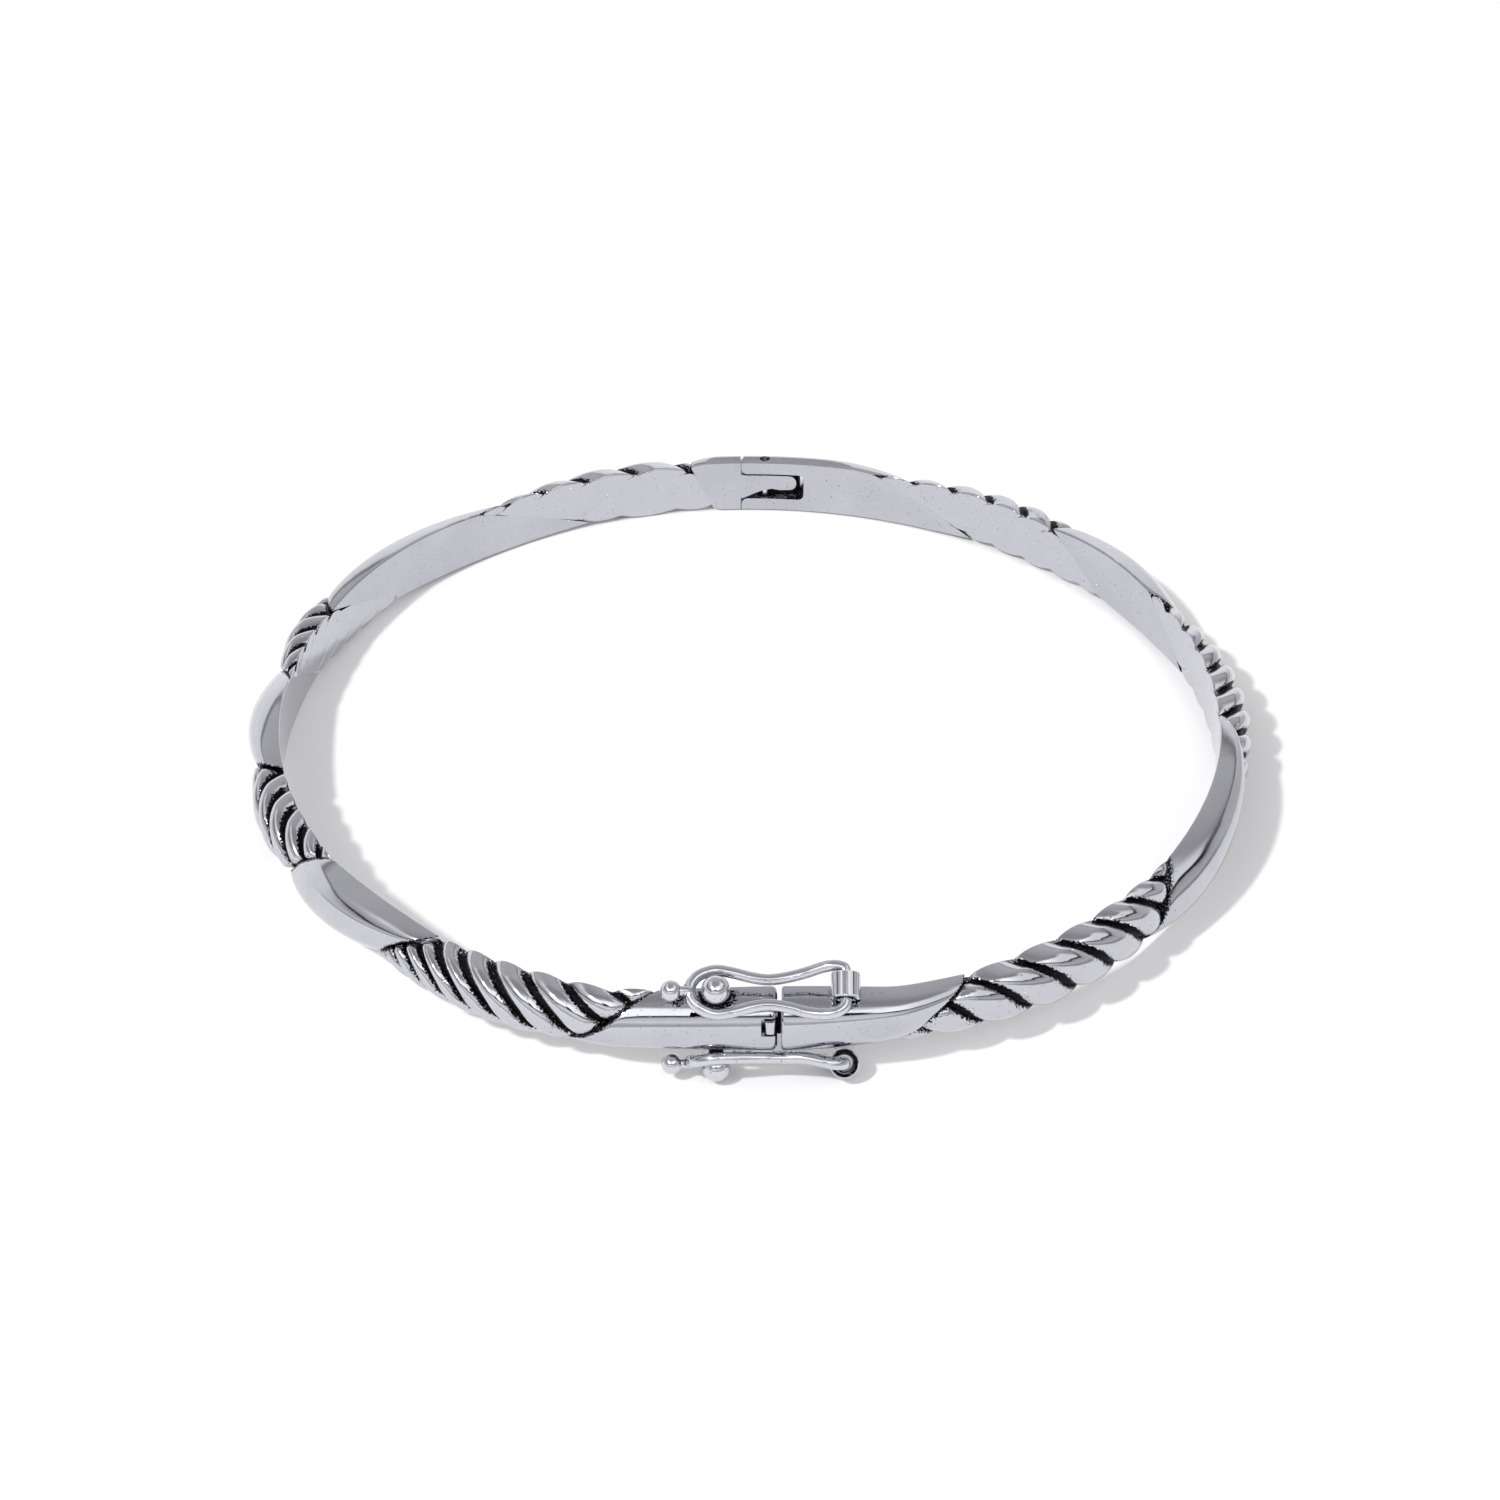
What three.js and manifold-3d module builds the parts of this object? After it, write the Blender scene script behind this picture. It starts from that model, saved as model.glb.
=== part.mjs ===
// Hinged bangle bracelet: two half bands of polished leaves and twisted cable, a pinned hinge,
// a spring-tongue box clasp and two figure-eight safety latches.
// Millimetres, +Z up. The ring's centre is the origin, the clasp faces -Y and the hinge +Y.
import * as THREE from 'three';
import Module from 'manifold-3d';

const wasm = await Module();
wasm.setup();
const { Manifold, Mesh } = wasm;

// ---------- driving dimensions ----------
const INNER_RADIUS = 29;          // round part of the inner face
const CLASP_INSET = 1.15;         // how far the straight clasp part lies inside that circle
const CLASP_FLAT = INNER_RADIUS - CLASP_INSET;
const FLAT_SOFTNESS = 0.12;       // how gently the straight part runs into the round one
const SEAM = 0.04;                // solder line between two sections
const FIT_GAP = 0.02;             // gap under a part soldered onto the band

const JOINT = { thick: 1.48, half: 1.62, fullness: 0.86 };   // the band's section at every seam
const LEAF = { thick: 2.15, half: 1.95 };                     // and at the middle of a section
const CABLE = { thick: 2.2, half: 1.9 };
const CREST_LOW = 0.6;            // where a leaf's ridge starts, as a share of the way down the dome
const CREST_HIGH = 0.4;           // where it ends
const CABLE_TWIST = 10;           // degrees a strand runs back from top edge to bottom edge
const GROOVE_WIDTH = 0.5;
const GROOVE_DEPTH = 0.4;
const GROOVE_RISE = 0.3;          // how far a groove's cutter stands out of the cable
const GROOVE_FLARE = 1.75;        // the cutter's width up there, in groove widths

const GAP_LEFT_X = 1.45;          // the two faces of the clasp
const GAP_RIGHT_X = 1.95;
const SPLIT_X = -0.58;            // the hinge's split line
const SPLIT_GAP = 0.06;

// The pin stands through two ears of the right half, with the left half's lug between them.
const HINGE = {
  pinX: 1.02, pinOut: 0.65, pinRadius: 0.3, pinClearance: 0.05,
  slotLength: 4.25, slotHalf: 0.97, lugClearance: 0.05, lugReach: 2.15, earWall: 1.15,
  recessDepth: 0.8, thick: 1.85, half: 1.87, flatHalf: 1.82, fullness: 0.6,
};
const PIN_HOLE = HINGE.pinRadius + HINGE.pinClearance;
const EAR_RADIUS = PIN_HOLE + HINGE.earWall;
const LUG_HALF = HINGE.slotHalf - HINGE.lugClearance;

// The clasp's box: how deep it runs, its low and high walls out from the inner face, its half
// height, and the middle and half height of the notch that the thumb press shows through.
const BOX = { depthX: -3.3, low: 0.42, high: 1.52, half: 1.08, notchUp: 0.46, notchHalf: 0.52 };
const TONGUE = {
  sheet: 0.26, sideGap: 0.16, lowGap: 0.14, highGap: 0.16, endGap: 0.35, foldLength: 0.33,
  tipGap: 0.1, pressLength: 0.6, pressGap: 0.1, pressEndGap: 0.2, pressRise: 0.55,
};
const TONGUE_HALF = BOX.half - TONGUE.sideGap;
const TONGUE_LOW = BOX.low + TONGUE.lowGap;
const TONGUE_HIGH = BOX.high - TONGUE.highGap;
const FOLD_X = BOX.depthX + TONGUE.endGap;
const SPRING_TIP_X = GAP_LEFT_X - TONGUE.tipGap;
const PRESS_X = SPRING_TIP_X - TONGUE.pressLength;
const PRESS_HALF = BOX.notchHalf - TONGUE.pressGap;

// A latch's frame stands off the leaf it lies on, and leans over its shoulder.
const LATCH = {
  tilt: THREE.MathUtils.degToRad(37), out: LEAF.thick - 1, up: LEAF.half + 0.39, wire: 0.33,
  pivotX: 5.3, pivotRise: 0.35, tipX: -4.4, tipRise: 0.36, tipRadius: 0.6, neck: 0.3,
};
const TUBE = { radius: 0.84, bore: 0.5, inner: -1.0, outer: 0.45, footHalf: 0.5 };
const CATCH = { x: -1.9, rise: 0.55, ball: 0.82, post: 0.42 };

// Sections round the ring, anticlockwise from above: the angles of a section's two ends on the
// top edge, and how far each end leans back by the time it reaches the bottom edge. A rope's
// strands widen towards its far end by the share in growth, or towards its near end if that is
// negative.
const SECTIONS = [
  { name: 'right_clasp_leaf', kind: 'leaf', from: 273.5, to: 294.5, leanFrom: 0, leanTo: 11, part: [0.39, 1] },
  { name: 'right_cable_front', kind: 'cable', from: 294.5, to: 328, leanFrom: 11, leanTo: 10, strands: 6, growth: -0.1 },
  { name: 'right_leaf_side', kind: 'leaf', from: 328, to: 358.5, leanFrom: 10, leanTo: 24, part: [0, 1] },
  { name: 'right_cable_side', kind: 'cable', from: 358.5, to: 387, leanFrom: 24, leanTo: 10, strands: 6, growth: 0 },
  { name: 'right_leaf_back', kind: 'leaf', from: 387, to: 406, leanFrom: 10, leanTo: 9, part: [0, 1] },
  { name: 'right_cable_back', kind: 'cable', from: 406, to: 433, leanFrom: 9, leanTo: 14, strands: 5, growth: 0.1 },
  { name: 'right_hinge_leaf', kind: 'hinge', from: 433, to: 451.15, leanFrom: 14, leanTo: 0, part: [0, 0.72] },
  { name: 'left_hinge_leaf', kind: 'hinge', from: 91.15, to: 98, leanFrom: 0, leanTo: 3, part: [0.72, 1] },
  { name: 'left_cable_back', kind: 'cable', from: 98, to: 129, leanFrom: 3, leanTo: 17, strands: 5, growth: -0.25 },
  { name: 'left_leaf_back', kind: 'leaf', from: 129, to: 158, leanFrom: 17, leanTo: 16, part: [0, 1] },
  { name: 'left_cable_side', kind: 'cable', from: 158, to: 174, leanFrom: 16, leanTo: 11, strands: 4, growth: 0 },
  { name: 'left_leaf_side', kind: 'leaf', from: 174, to: 193, leanFrom: 11, leanTo: 10, part: [0, 1] },
  { name: 'left_cable_low', kind: 'cable', from: 193, to: 213, leanFrom: 10, leanTo: 10, strands: 5, growth: 0 },
  { name: 'left_leaf_front', kind: 'leaf', from: 213, to: 232.5, leanFrom: 10, leanTo: 12, part: [0, 1] },
  { name: 'left_cable_front', kind: 'cable', from: 232.5, to: 260, leanFrom: 12, leanTo: 12, strands: 6, growth: 0.3 },
  { name: 'left_clasp_leaf', kind: 'leaf', from: 260, to: 273.5, leanFrom: 12, leanTo: 0, part: [0, 0.39] },
];

// ---------- materials ----------
const polished = new THREE.MeshStandardMaterial({ color: 0xc9c9ce, metalness: 1, roughness: 0.12 });
const oxidised = new THREE.MeshStandardMaterial({ color: 0x8f8f95, metalness: 1, roughness: 0.3 });

// ---------- solids ----------
const toRadians = THREE.MathUtils.degToRad;
const lerp = THREE.MathUtils.lerp;

function meshOf(positions, triangles) {
  const mesh = new Mesh({
    numProp: 3,
    vertProperties: new Float32Array(positions),
    triVerts: new Uint32Array(triangles),
  });
  mesh.merge();
  return mesh;
}

// Six times the enclosed volume; negative when the faces look inwards.
function signedVolume(positions, triangles) {
  const corner = (n) => new THREE.Vector3().fromArray(positions, 3 * triangles[n]);
  let sum = 0;
  for (let n = 0; n < triangles.length; n += 3) {
    sum += corner(n).dot(corner(n + 1).cross(corner(n + 2)));
  }
  return sum;
}

function solidOf(positions, triangles) {
  if (signedVolume(positions, triangles) < 0) {
    triangles.reverse();
  }
  return new Manifold(meshOf(positions, triangles));
}

function solidFromGeometry(geometry) {
  const flat = geometry.index ? geometry.toNonIndexed() : geometry;
  const positions = Array.from(flat.attributes.position.array);
  const triangles = positions.filter((_, n) => n % 3 === 0).map((_, n) => n);
  return solidOf(positions, triangles);
}

// Rings of points joined one to the next. An open row of rings is closed with a fan at each end.
function ringSolid(rings, closed) {
  const sides = rings[0].length;
  const positions = rings.flat().flatMap((p) => p.toArray());
  const triangles = [];
  const spans = closed ? rings.length : rings.length - 1;
  for (let i = 0; i < spans; i += 1) {
    const near = i * sides;
    const far = ((i + 1) % rings.length) * sides;
    for (let j = 0; j < sides; j += 1) {
      const next = (j + 1) % sides;
      triangles.push(near + j, near + next, far + next, near + j, far + next, far + j);
    }
  }
  if (!closed) {
    const fan = (start, flip) => {
      const ring = rings[start / sides];
      const centre = ring.reduce((sum, p) => sum.add(p), new THREE.Vector3());
      const middle = positions.length / 3;
      positions.push(...centre.divideScalar(sides).toArray());
      for (let j = 0; j < sides; j += 1) {
        const pair = [start + j, start + ((j + 1) % sides)];
        triangles.push(middle, ...(flip ? pair : pair.reverse()));
      }
    };
    fan(0, false);
    fan((rings.length - 1) * sides, true);
  }
  return solidOf(positions, triangles);
}

function block(x, y, z) {
  const geometry = new THREE.BoxGeometry(x[1] - x[0], y[1] - y[0], z[1] - z[0]);
  geometry.translate((x[0] + x[1]) / 2, (y[0] + y[1]) / 2, (z[0] + z[1]) / 2);
  return solidFromGeometry(geometry);
}

// A flat outline in X and Y, raised from one height to another.
function prism(outline, low, high) {
  const shape = new THREE.Shape(outline.map(([x, y]) => new THREE.Vector2(x, y)));
  const geometry = new THREE.ExtrudeGeometry(shape, { depth: high - low, bevelEnabled: false });
  geometry.translate(0, 0, low);
  return solidFromGeometry(geometry);
}

function upright(radius, x, y, low, high, sides = 20) {
  const geometry = new THREE.CylinderGeometry(radius, radius, high - low, sides);
  geometry.rotateX(Math.PI / 2);
  geometry.translate(x, y, (low + high) / 2);
  return solidFromGeometry(geometry);
}

function ball(radius, at) {
  const geometry = new THREE.SphereGeometry(radius, 14, 9);
  geometry.translate(at.x, at.y, at.z);
  return solidFromGeometry(geometry);
}

// ---------- the band ----------
// The inner face's path: round, with one straight stretch at the clasp.
function pathPoint(angle) {
  const outward = Math.max(-Math.sin(angle), 0.1);
  const flat = CLASP_FLAT / outward;
  const sharp = 1 / FLAT_SOFTNESS;
  const low = Math.min(flat, INNER_RADIUS);
  const blend = Math.exp(-sharp * (flat - low)) + Math.exp(-sharp * (INNER_RADIUS - low));
  const radius = low - FLAT_SOFTNESS * Math.log(blend);
  return new THREE.Vector3(radius * Math.cos(angle), radius * Math.sin(angle), 0);
}

function pathFrame(degrees) {
  const angle = toRadians(degrees);
  const step = 0.002;
  const along = pathPoint(angle + step).sub(pathPoint(angle - step)).normalize();
  return { point: pathPoint(angle), outward: new THREE.Vector3(along.y, -along.x, 0) };
}

function place(degrees, out, height) {
  const { point, outward } = pathFrame(degrees);
  return point.addScaledVector(outward, out).setZ(height);
}

const FLAT_STEPS = 4;             // points up the inner face
const DOME_STEPS = 10;            // points over the dome

// A profile point's place on the dome, in share of the way from the top edge to the bottom edge.
function domePoint(share, thick, half, fullness, crest) {
  const turn = Math.PI * share;
  const warped = Math.PI * share ** (Math.log(0.5) / Math.log(crest));
  const high = Math.cos(turn);
  return {
    out: thick * Math.sin(warped) ** fullness,
    up: half * Math.sign(high) * Math.abs(high) ** fullness,
  };
}

function swell(end, middle, share) {
  return end + (middle - end) * Math.sin(Math.PI * share) ** 0.7;
}

// Thickness, half height, fullness and ridge place at a share of a section's length.
function sectionShape(section, share) {
  if (section.kind === 'cable') {
    return {
      thick: swell(JOINT.thick, CABLE.thick, share),
      half: swell(JOINT.half, CABLE.half, share),
      fullness: JOINT.fullness,
      crest: lerp(CREST_HIGH, CREST_LOW, share),
    };
  }
  const leafShare = lerp(section.part[0], section.part[1], share);
  const leaf = {
    thick: swell(JOINT.thick, LEAF.thick, leafShare),
    half: swell(JOINT.half, LEAF.half, leafShare),
    fullness: JOINT.fullness,
    crest: lerp(CREST_LOW, CREST_HIGH, leafShare),
  };
  if (section.kind === 'leaf') {
    return leaf;
  }
  const fromSplit = section.part[0] > 0 ? share : 1 - share;
  const squared = Math.min(1, 2.2 * (1 - fromSplit));
  return {
    thick: lerp(leaf.thick, HINGE.thick, squared),
    half: lerp(leaf.half, HINGE.half, squared),
    fullness: lerp(leaf.fullness, HINGE.fullness, squared),
    crest: lerp(leaf.crest, 0.5, squared),
  };
}

function sectionSolid(section, steps) {
  const seam = (THREE.MathUtils.radToDeg(SEAM / INNER_RADIUS)) / 2;
  const start = section.from + (section.leanFrom > 0 ? seam : 0);
  const end = section.to - (section.leanTo > 0 ? seam : 0);
  const rings = [];
  for (let i = 0; i <= steps; i += 1) {
    const share = i / steps;
    const shape = sectionShape(section, share);
    const angleAt = (down) =>
      lerp(start - section.leanFrom * down, end - section.leanTo * down, share);
    const ring = [];
    for (let j = 0; j <= DOME_STEPS; j += 1) {
      const down = j / DOME_STEPS;
      const { out, up } = domePoint(down, shape.thick, shape.half, shape.fullness, shape.crest);
      ring.push(place(angleAt(down), j % DOME_STEPS === 0 ? 0 : out, up));
    }
    for (let j = FLAT_STEPS - 1; j > 0; j -= 1) {
      const down = j / FLAT_STEPS;
      ring.push(place(angleAt(down), 0, shape.half * (1 - 2 * down)));
    }
    rings.push(ring);
  }
  return ringSolid(rings, false);
}

// A V-shaped cutter along one groove between two strands.
function grooveCutter(section, topAngle) {
  const share = (degrees) =>
    THREE.MathUtils.clamp((degrees - section.from) / (section.to - section.from), 0, 1);
  const halfWidth = THREE.MathUtils.radToDeg(GROOVE_WIDTH / 2 / INNER_RADIUS);
  const rings = [];
  const steps = 5;
  for (let i = 0; i <= steps; i += 1) {
    const down = i / steps;
    const angle = topAngle + CABLE_TWIST * down;
    const lean = lerp(section.leanFrom, section.leanTo, share(angle + section.leanFrom * down));
    const shape = sectionShape(section, share(angle + lean * down));
    const rim = domePoint(down, shape.thick, shape.half, shape.fullness, shape.crest);
    const surface = new THREE.Vector2(i % steps === 0 ? 0 : rim.out, rim.up);
    const away = surface.clone().normalize();
    const high = surface.clone().addScaledVector(away, GROOVE_RISE);
    const deep = surface.clone().addScaledVector(away, -GROOVE_DEPTH);
    const wide = halfWidth * GROOVE_FLARE;
    rings.push([
      place(angle - wide, high.x, high.y),
      place(angle, deep.x, deep.y),
      place(angle + wide, high.x, high.y),
    ]);
  }
  return ringSolid(rings, false);
}

// The angle on the top edge of groove n of a rope, which may lie past either end of it.
function grooveAngle(section, n) {
  const share = n / section.strands;
  const within = THREE.MathUtils.clamp(share, 0, 1);
  const slope = 1 + section.growth * (2 * within - 1);
  const spread = within + section.growth * within * (within - 1) + slope * (share - within);
  return lerp(section.from, section.to, spread);
}

function cableSolid(section) {
  let solid = sectionSolid(section, 7);
  const leastPitch = (section.to - section.from) / section.strands * (1 - Math.abs(section.growth));
  const reach = Math.max(section.leanFrom, section.leanTo) + CABLE_TWIST;
  const before = Math.ceil(reach / leastPitch);
  for (let n = 1 - before; n < section.strands; n += 1) {
    solid = solid.subtract(grooveCutter(section, grooveAngle(section, n)));
  }
  const pieces = solid.decompose();
  return pieces.reduce((most, piece) => (piece.volume() > most.volume() ? piece : most));
}

// ---------- hinge ----------
const PIN_Y = INNER_RADIUS + HINGE.pinOut;
const FAR = 6;                    // reaches past the band on every side

function hingeFork(section) {
  const slotEnd = SPLIT_X + HINGE.slotLength;
  const round = [[-FAR, 0]];
  for (let n = 0; n <= 6; n += 1) {
    const turn = Math.PI - (n / 6) * (Math.PI / 2);
    round.push([EAR_RADIUS * Math.cos(turn), EAR_RADIUS * Math.sin(turn)]);
  }
  round.push([0, FAR], [-FAR, FAR]);
  const earRound = round.map(([x, y]) => [x + HINGE.pinX, y + PIN_Y]);
  return sectionSolid(section, 8)
    .subtract(block([-FAR, 3 * FAR], [20, 40], [HINGE.flatHalf, FAR]))
    .subtract(block([-FAR, 3 * FAR], [20, 40], [-FAR, -HINGE.flatHalf]))
    .subtract(block([-FAR, slotEnd], [20, 40], [-HINGE.slotHalf, HINGE.slotHalf]))
    .subtract(prism(earRound, -FAR, FAR))
    .subtract(upright(PIN_HOLE, HINGE.pinX, PIN_Y, -FAR, FAR));
}

function hingeLug(section) {
  const lugSection = {
    ...section, from: 83.5, to: 91.5, leanFrom: 0, leanTo: 0, part: [0.72, 0.72],
  };
  const tip = HINGE.pinX + HINGE.lugReach;
  const finger = [
    [SPLIT_X - 0.6, -LUG_HALF], [SPLIT_X + 0.25, -LUG_HALF], [SPLIT_X + 1.9, -0.1],
    [tip - 0.9, -0.22], [tip - 0.3, 0], [tip, 0.35], [tip - 0.05, 0.7],
    [tip - 0.4, LUG_HALF], [SPLIT_X - 0.6, LUG_HALF],
  ];
  // the finger's outline is drawn across X and Z, so the prism is stood up
  const standUp = (solid) => solid.rotate([90, 0, 0]);
  const front = standUp(prism(finger, -INNER_RADIUS - HINGE.recessDepth, -20));
  const back = block(
    [SPLIT_X - 0.6, tip - 0.35], [INNER_RADIUS + HINGE.recessDepth - 0.3, 40],
    [-LUG_HALF, LUG_HALF],
  );
  const lug = sectionSolid(lugSection, 6).intersect(front.add(back));
  return sectionSolid(section, 6)
    .subtract(block([SPLIT_X - SPLIT_GAP, FAR], [20, 40], [-FAR, FAR]))
    .subtract(block([-FAR, FAR], [20, 40], [HINGE.flatHalf, FAR]))
    .subtract(block([-FAR, FAR], [20, 40], [-FAR, -HINGE.flatHalf]))
    .add(lug)
    .subtract(upright(PIN_HOLE, HINGE.pinX, PIN_Y, -FAR, FAR));
}

function hingePin() {
  const half = HINGE.flatHalf - FIT_GAP;
  return upright(HINGE.pinRadius, HINGE.pinX, PIN_Y, -half, half);
}

// ---------- box clasp ----------
function claspY(out) {
  return -CLASP_FLAT - out;
}

function claspBox(section) {
  return sectionSolid(section, 8)
    .subtract(block([GAP_LEFT_X, FAR], [-40, -20], [-FAR, FAR]))
    .subtract(block([BOX.depthX, FAR], [claspY(BOX.high), claspY(BOX.low)], [-BOX.half, BOX.half]))
    .subtract(block(
      [PRESS_X - TONGUE.pressEndGap, FAR], [-40, claspY(BOX.low)],
      [BOX.notchUp - BOX.notchHalf, BOX.notchUp + BOX.notchHalf],
    ));
}

function claspEnd(section) {
  return sectionSolid(section, 8)
    .subtract(block([-FAR, GAP_RIGHT_X], [-40, -20], [-FAR, FAR]));
}

// The fixed inner strip, with the folded end that the spring strip bends from.
function tongueLeaf() {
  const corner = 0.2;
  const lip = 0.28;
  const end = GAP_RIGHT_X - FIT_GAP;
  const outline = [
    [end, claspY(TONGUE_LOW)], [FOLD_X + corner, claspY(TONGUE_LOW)],
    [FOLD_X, claspY(TONGUE_LOW + corner)], [FOLD_X, claspY(TONGUE_HIGH - corner)],
    [FOLD_X + corner, claspY(TONGUE_HIGH)], [FOLD_X + lip, claspY(TONGUE_HIGH)],
    [FOLD_X + lip, claspY(TONGUE_LOW + TONGUE.sheet)], [end, claspY(TONGUE_LOW + TONGUE.sheet)],
  ];
  return prism(outline, -TONGUE_HALF, TONGUE_HALF);
}

// The strip that gives under the thumb, with the press that stands out through the notch.
function tongueSpring() {
  const strip = block(
    [FOLD_X + TONGUE.foldLength, SPRING_TIP_X],
    [claspY(TONGUE_HIGH), claspY(TONGUE_HIGH - TONGUE.sheet)], [-TONGUE_HALF, TONGUE_HALF],
  );
  const press = block(
    [PRESS_X, SPRING_TIP_X],
    [claspY(BOX.high + TONGUE.pressRise), claspY(TONGUE_HIGH - TONGUE.sheet / 2)],
    [BOX.notchUp - PRESS_HALF, BOX.notchUp + PRESS_HALF],
  );
  return strip.add(press);
}

// ---------- safety latches ----------
// Each latch lies on a shoulder of the band. Its own X runs along the band, its Y outwards
// across the shoulder and its Z away from the shoulder. side is 1 above and -1 below.
function shoulder(side) {
  const across = new THREE.Vector3(0, -Math.cos(LATCH.tilt), -side * Math.sin(LATCH.tilt));
  const away = new THREE.Vector3(0, -Math.sin(LATCH.tilt), side * Math.cos(LATCH.tilt));
  const matrix = new THREE.Matrix4().makeBasis(new THREE.Vector3(1, 0, 0), across, away);
  return matrix.setPosition(0, claspY(LATCH.out), side * LATCH.up);
}

function onShoulder(solid, side) {
  return solid.transform(shoulder(side).toArray());
}

// Half of the figure eight, from the ball end to the tube: place along the band and half width.
const LOOP_SIDE = [
  [-3.38, 0], [-3.2, 0.55], [-2.75, 0.98], [-1.9, 1.25], [-0.9, 1.1], [0.1, 0.84], [1.05, 0.72],
  [2.1, 0.86], [3.1, 1.12], [4.0, 1.28], [4.65, 1.24],
];
const LOOP_END = [[5.12, 1.0], [LATCH.pivotX, 0.7], [LATCH.pivotX, 0.3]];

function loopHeight(x) {
  const toTip = THREE.MathUtils.smoothstep(-x, 1.6, 3.6);
  const toPivot = THREE.MathUtils.smoothstep(x, 3.0, 5.1);
  return 0.24 * toTip + LATCH.pivotRise * toPivot;
}

function latchSolid(side) {
  const outer = [...LOOP_SIDE, ...LOOP_END];
  const inner = [
    [LATCH.pivotX, -0.4], [LATCH.pivotX, -1.16], [5.1, -1.38], [4.6, -1.46], [4.0, -1.38],
    ...LOOP_SIDE.slice(1, -2).reverse().map(([x, y]) => [x, -y]),
  ];
  const points = [...outer, ...inner].map(([x, y]) => new THREE.Vector3(x, y, loopHeight(x)));
  const curve = new THREE.CatmullRomCurve3(points, true, 'centripetal');
  const count = 46;
  const sides = 7;
  const up = new THREE.Vector3(0, 0, 1);
  const rings = [];
  for (let i = 0; i < count; i += 1) {
    const at = curve.getPointAt(i / count);
    const along = curve.getTangentAt(i / count);
    const beside = new THREE.Vector3().crossVectors(along, up).normalize();
    const above = new THREE.Vector3().crossVectors(beside, along);
    const ring = [];
    for (let j = 0; j < sides; j += 1) {
      const turn = (2 * Math.PI * j) / sides;
      ring.push(at.clone()
        .addScaledVector(beside, LATCH.wire * Math.cos(turn))
        .addScaledVector(above, LATCH.wire * Math.sin(turn)));
    }
    rings.push(ring);
  }
  const tip = new THREE.Vector3(LATCH.tipX, 0, LATCH.tipRise);
  const neckGeometry = new THREE.CylinderGeometry(LATCH.neck, LATCH.neck, -3.3 - LATCH.tipX, 10);
  neckGeometry.rotateZ(Math.PI / 2);
  neckGeometry.translate((LATCH.tipX - 3.3) / 2, 0, 0.28);
  const latch = ringSolid(rings, true)
    .add(solidFromGeometry(neckGeometry))
    .add(ball(LATCH.tipRadius, tip));
  return onShoulder(latch, side);
}

// A cylinder lying across the shoulder, on the latch's pivot.
function acrossPivot(radius, from, to, sides) {
  const geometry = new THREE.CylinderGeometry(radius, radius, to - from, sides);
  geometry.translate(LATCH.pivotX, (from + to) / 2, LATCH.pivotRise);
  return solidFromGeometry(geometry);
}

function largestPiece(solid) {
  const pieces = solid.decompose();
  return pieces.reduce((most, piece) => (piece.volume() > most.volume() ? piece : most));
}

// The hinge tube, its solder foot shaped to the band.
function tubeSolid(side, band) {
  const foot = block(
    [LATCH.pivotX - TUBE.footHalf, LATCH.pivotX + TUBE.footHalf],
    [TUBE.inner + 0.1, TUBE.outer - 0.1], [-1.4, LATCH.pivotRise],
  );
  const tube = acrossPivot(TUBE.radius, TUBE.inner, TUBE.outer, 24)
    .add(foot)
    .subtract(acrossPivot(TUBE.bore, TUBE.inner - 1, TUBE.outer + 1, 16));
  return largestPiece(onShoulder(tube, side).subtract(raised(band, side)));
}

// The band moved a hair away from its shoulder, to cut what is soldered onto it.
function raised(band, side) {
  return band.translate([0, -FIT_GAP * Math.sin(LATCH.tilt), side * FIT_GAP * Math.cos(LATCH.tilt)]);
}

function catchSolid(side, band) {
  const postGeometry = new THREE.CylinderGeometry(CATCH.post, CATCH.post, 2.4, 12);
  postGeometry.rotateX(Math.PI / 2);
  postGeometry.translate(CATCH.x, 0, CATCH.rise - 1.2);
  const stud = solidFromGeometry(postGeometry)
    .add(ball(CATCH.ball, new THREE.Vector3(CATCH.x, 0, CATCH.rise)));
  return largestPiece(onShoulder(stud, side).subtract(raised(band, side)));
}

// ---------- assembly ----------
const group = new THREE.Group();

function addPart(name, solid, material) {
  const mesh = solid.getMesh();
  const geometry = new THREE.BufferGeometry();
  geometry.setAttribute('position', new THREE.BufferAttribute(mesh.vertProperties, 3));
  geometry.setIndex(new THREE.BufferAttribute(mesh.triVerts, 1));
  geometry.computeVertexNormals();
  const part = new THREE.Mesh(geometry, material);
  part.name = name;
  group.add(part);
}

const special = {
  right_clasp_leaf: claspEnd,
  left_clasp_leaf: claspBox,
  right_hinge_leaf: hingeFork,
  left_hinge_leaf: hingeLug,
};

const bandSolids = {};
for (const section of SECTIONS) {
  const build = special[section.name]
    ?? (section.kind === 'cable' ? cableSolid : (leaf) => sectionSolid(leaf, 7));
  bandSolids[section.name] = build(section);
  const finish = section.kind === 'cable' ? oxidised : polished;
  addPart(section.name, bandSolids[section.name], finish);
}

addPart('hinge_pin', hingePin(), polished);
addPart('tongue_leaf', tongueLeaf(), polished);
addPart('tongue_spring', tongueSpring(), polished);
for (const [label, side] of [['upper', 1], ['lower', -1]]) {
  addPart(`${label}_latch`, latchSolid(side), polished);
  addPart(`${label}_latch_tube`, tubeSolid(side, bandSolids.right_clasp_leaf), polished);
  addPart(`${label}_catch_ball`, catchSolid(side, bandSolids.left_clasp_leaf), polished);
}

export default group;
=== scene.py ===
"""Looks of a hinged silver bangle: twisted leaves, antiqued rope, a pinned hinge and safety latches.

Sizes are in millimetres and angles in degrees; every mesh is written in metres in the CAD's frame:
the ring's centre is the origin, the clasp faces -Y, the hinge +Y and +Z is up.
"""

import logging
import math
from collections.abc import Callable, Iterable
from dataclasses import dataclass, field
from enum import Enum

import bmesh
import bpy
from mathutils import Matrix, Vector


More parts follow.
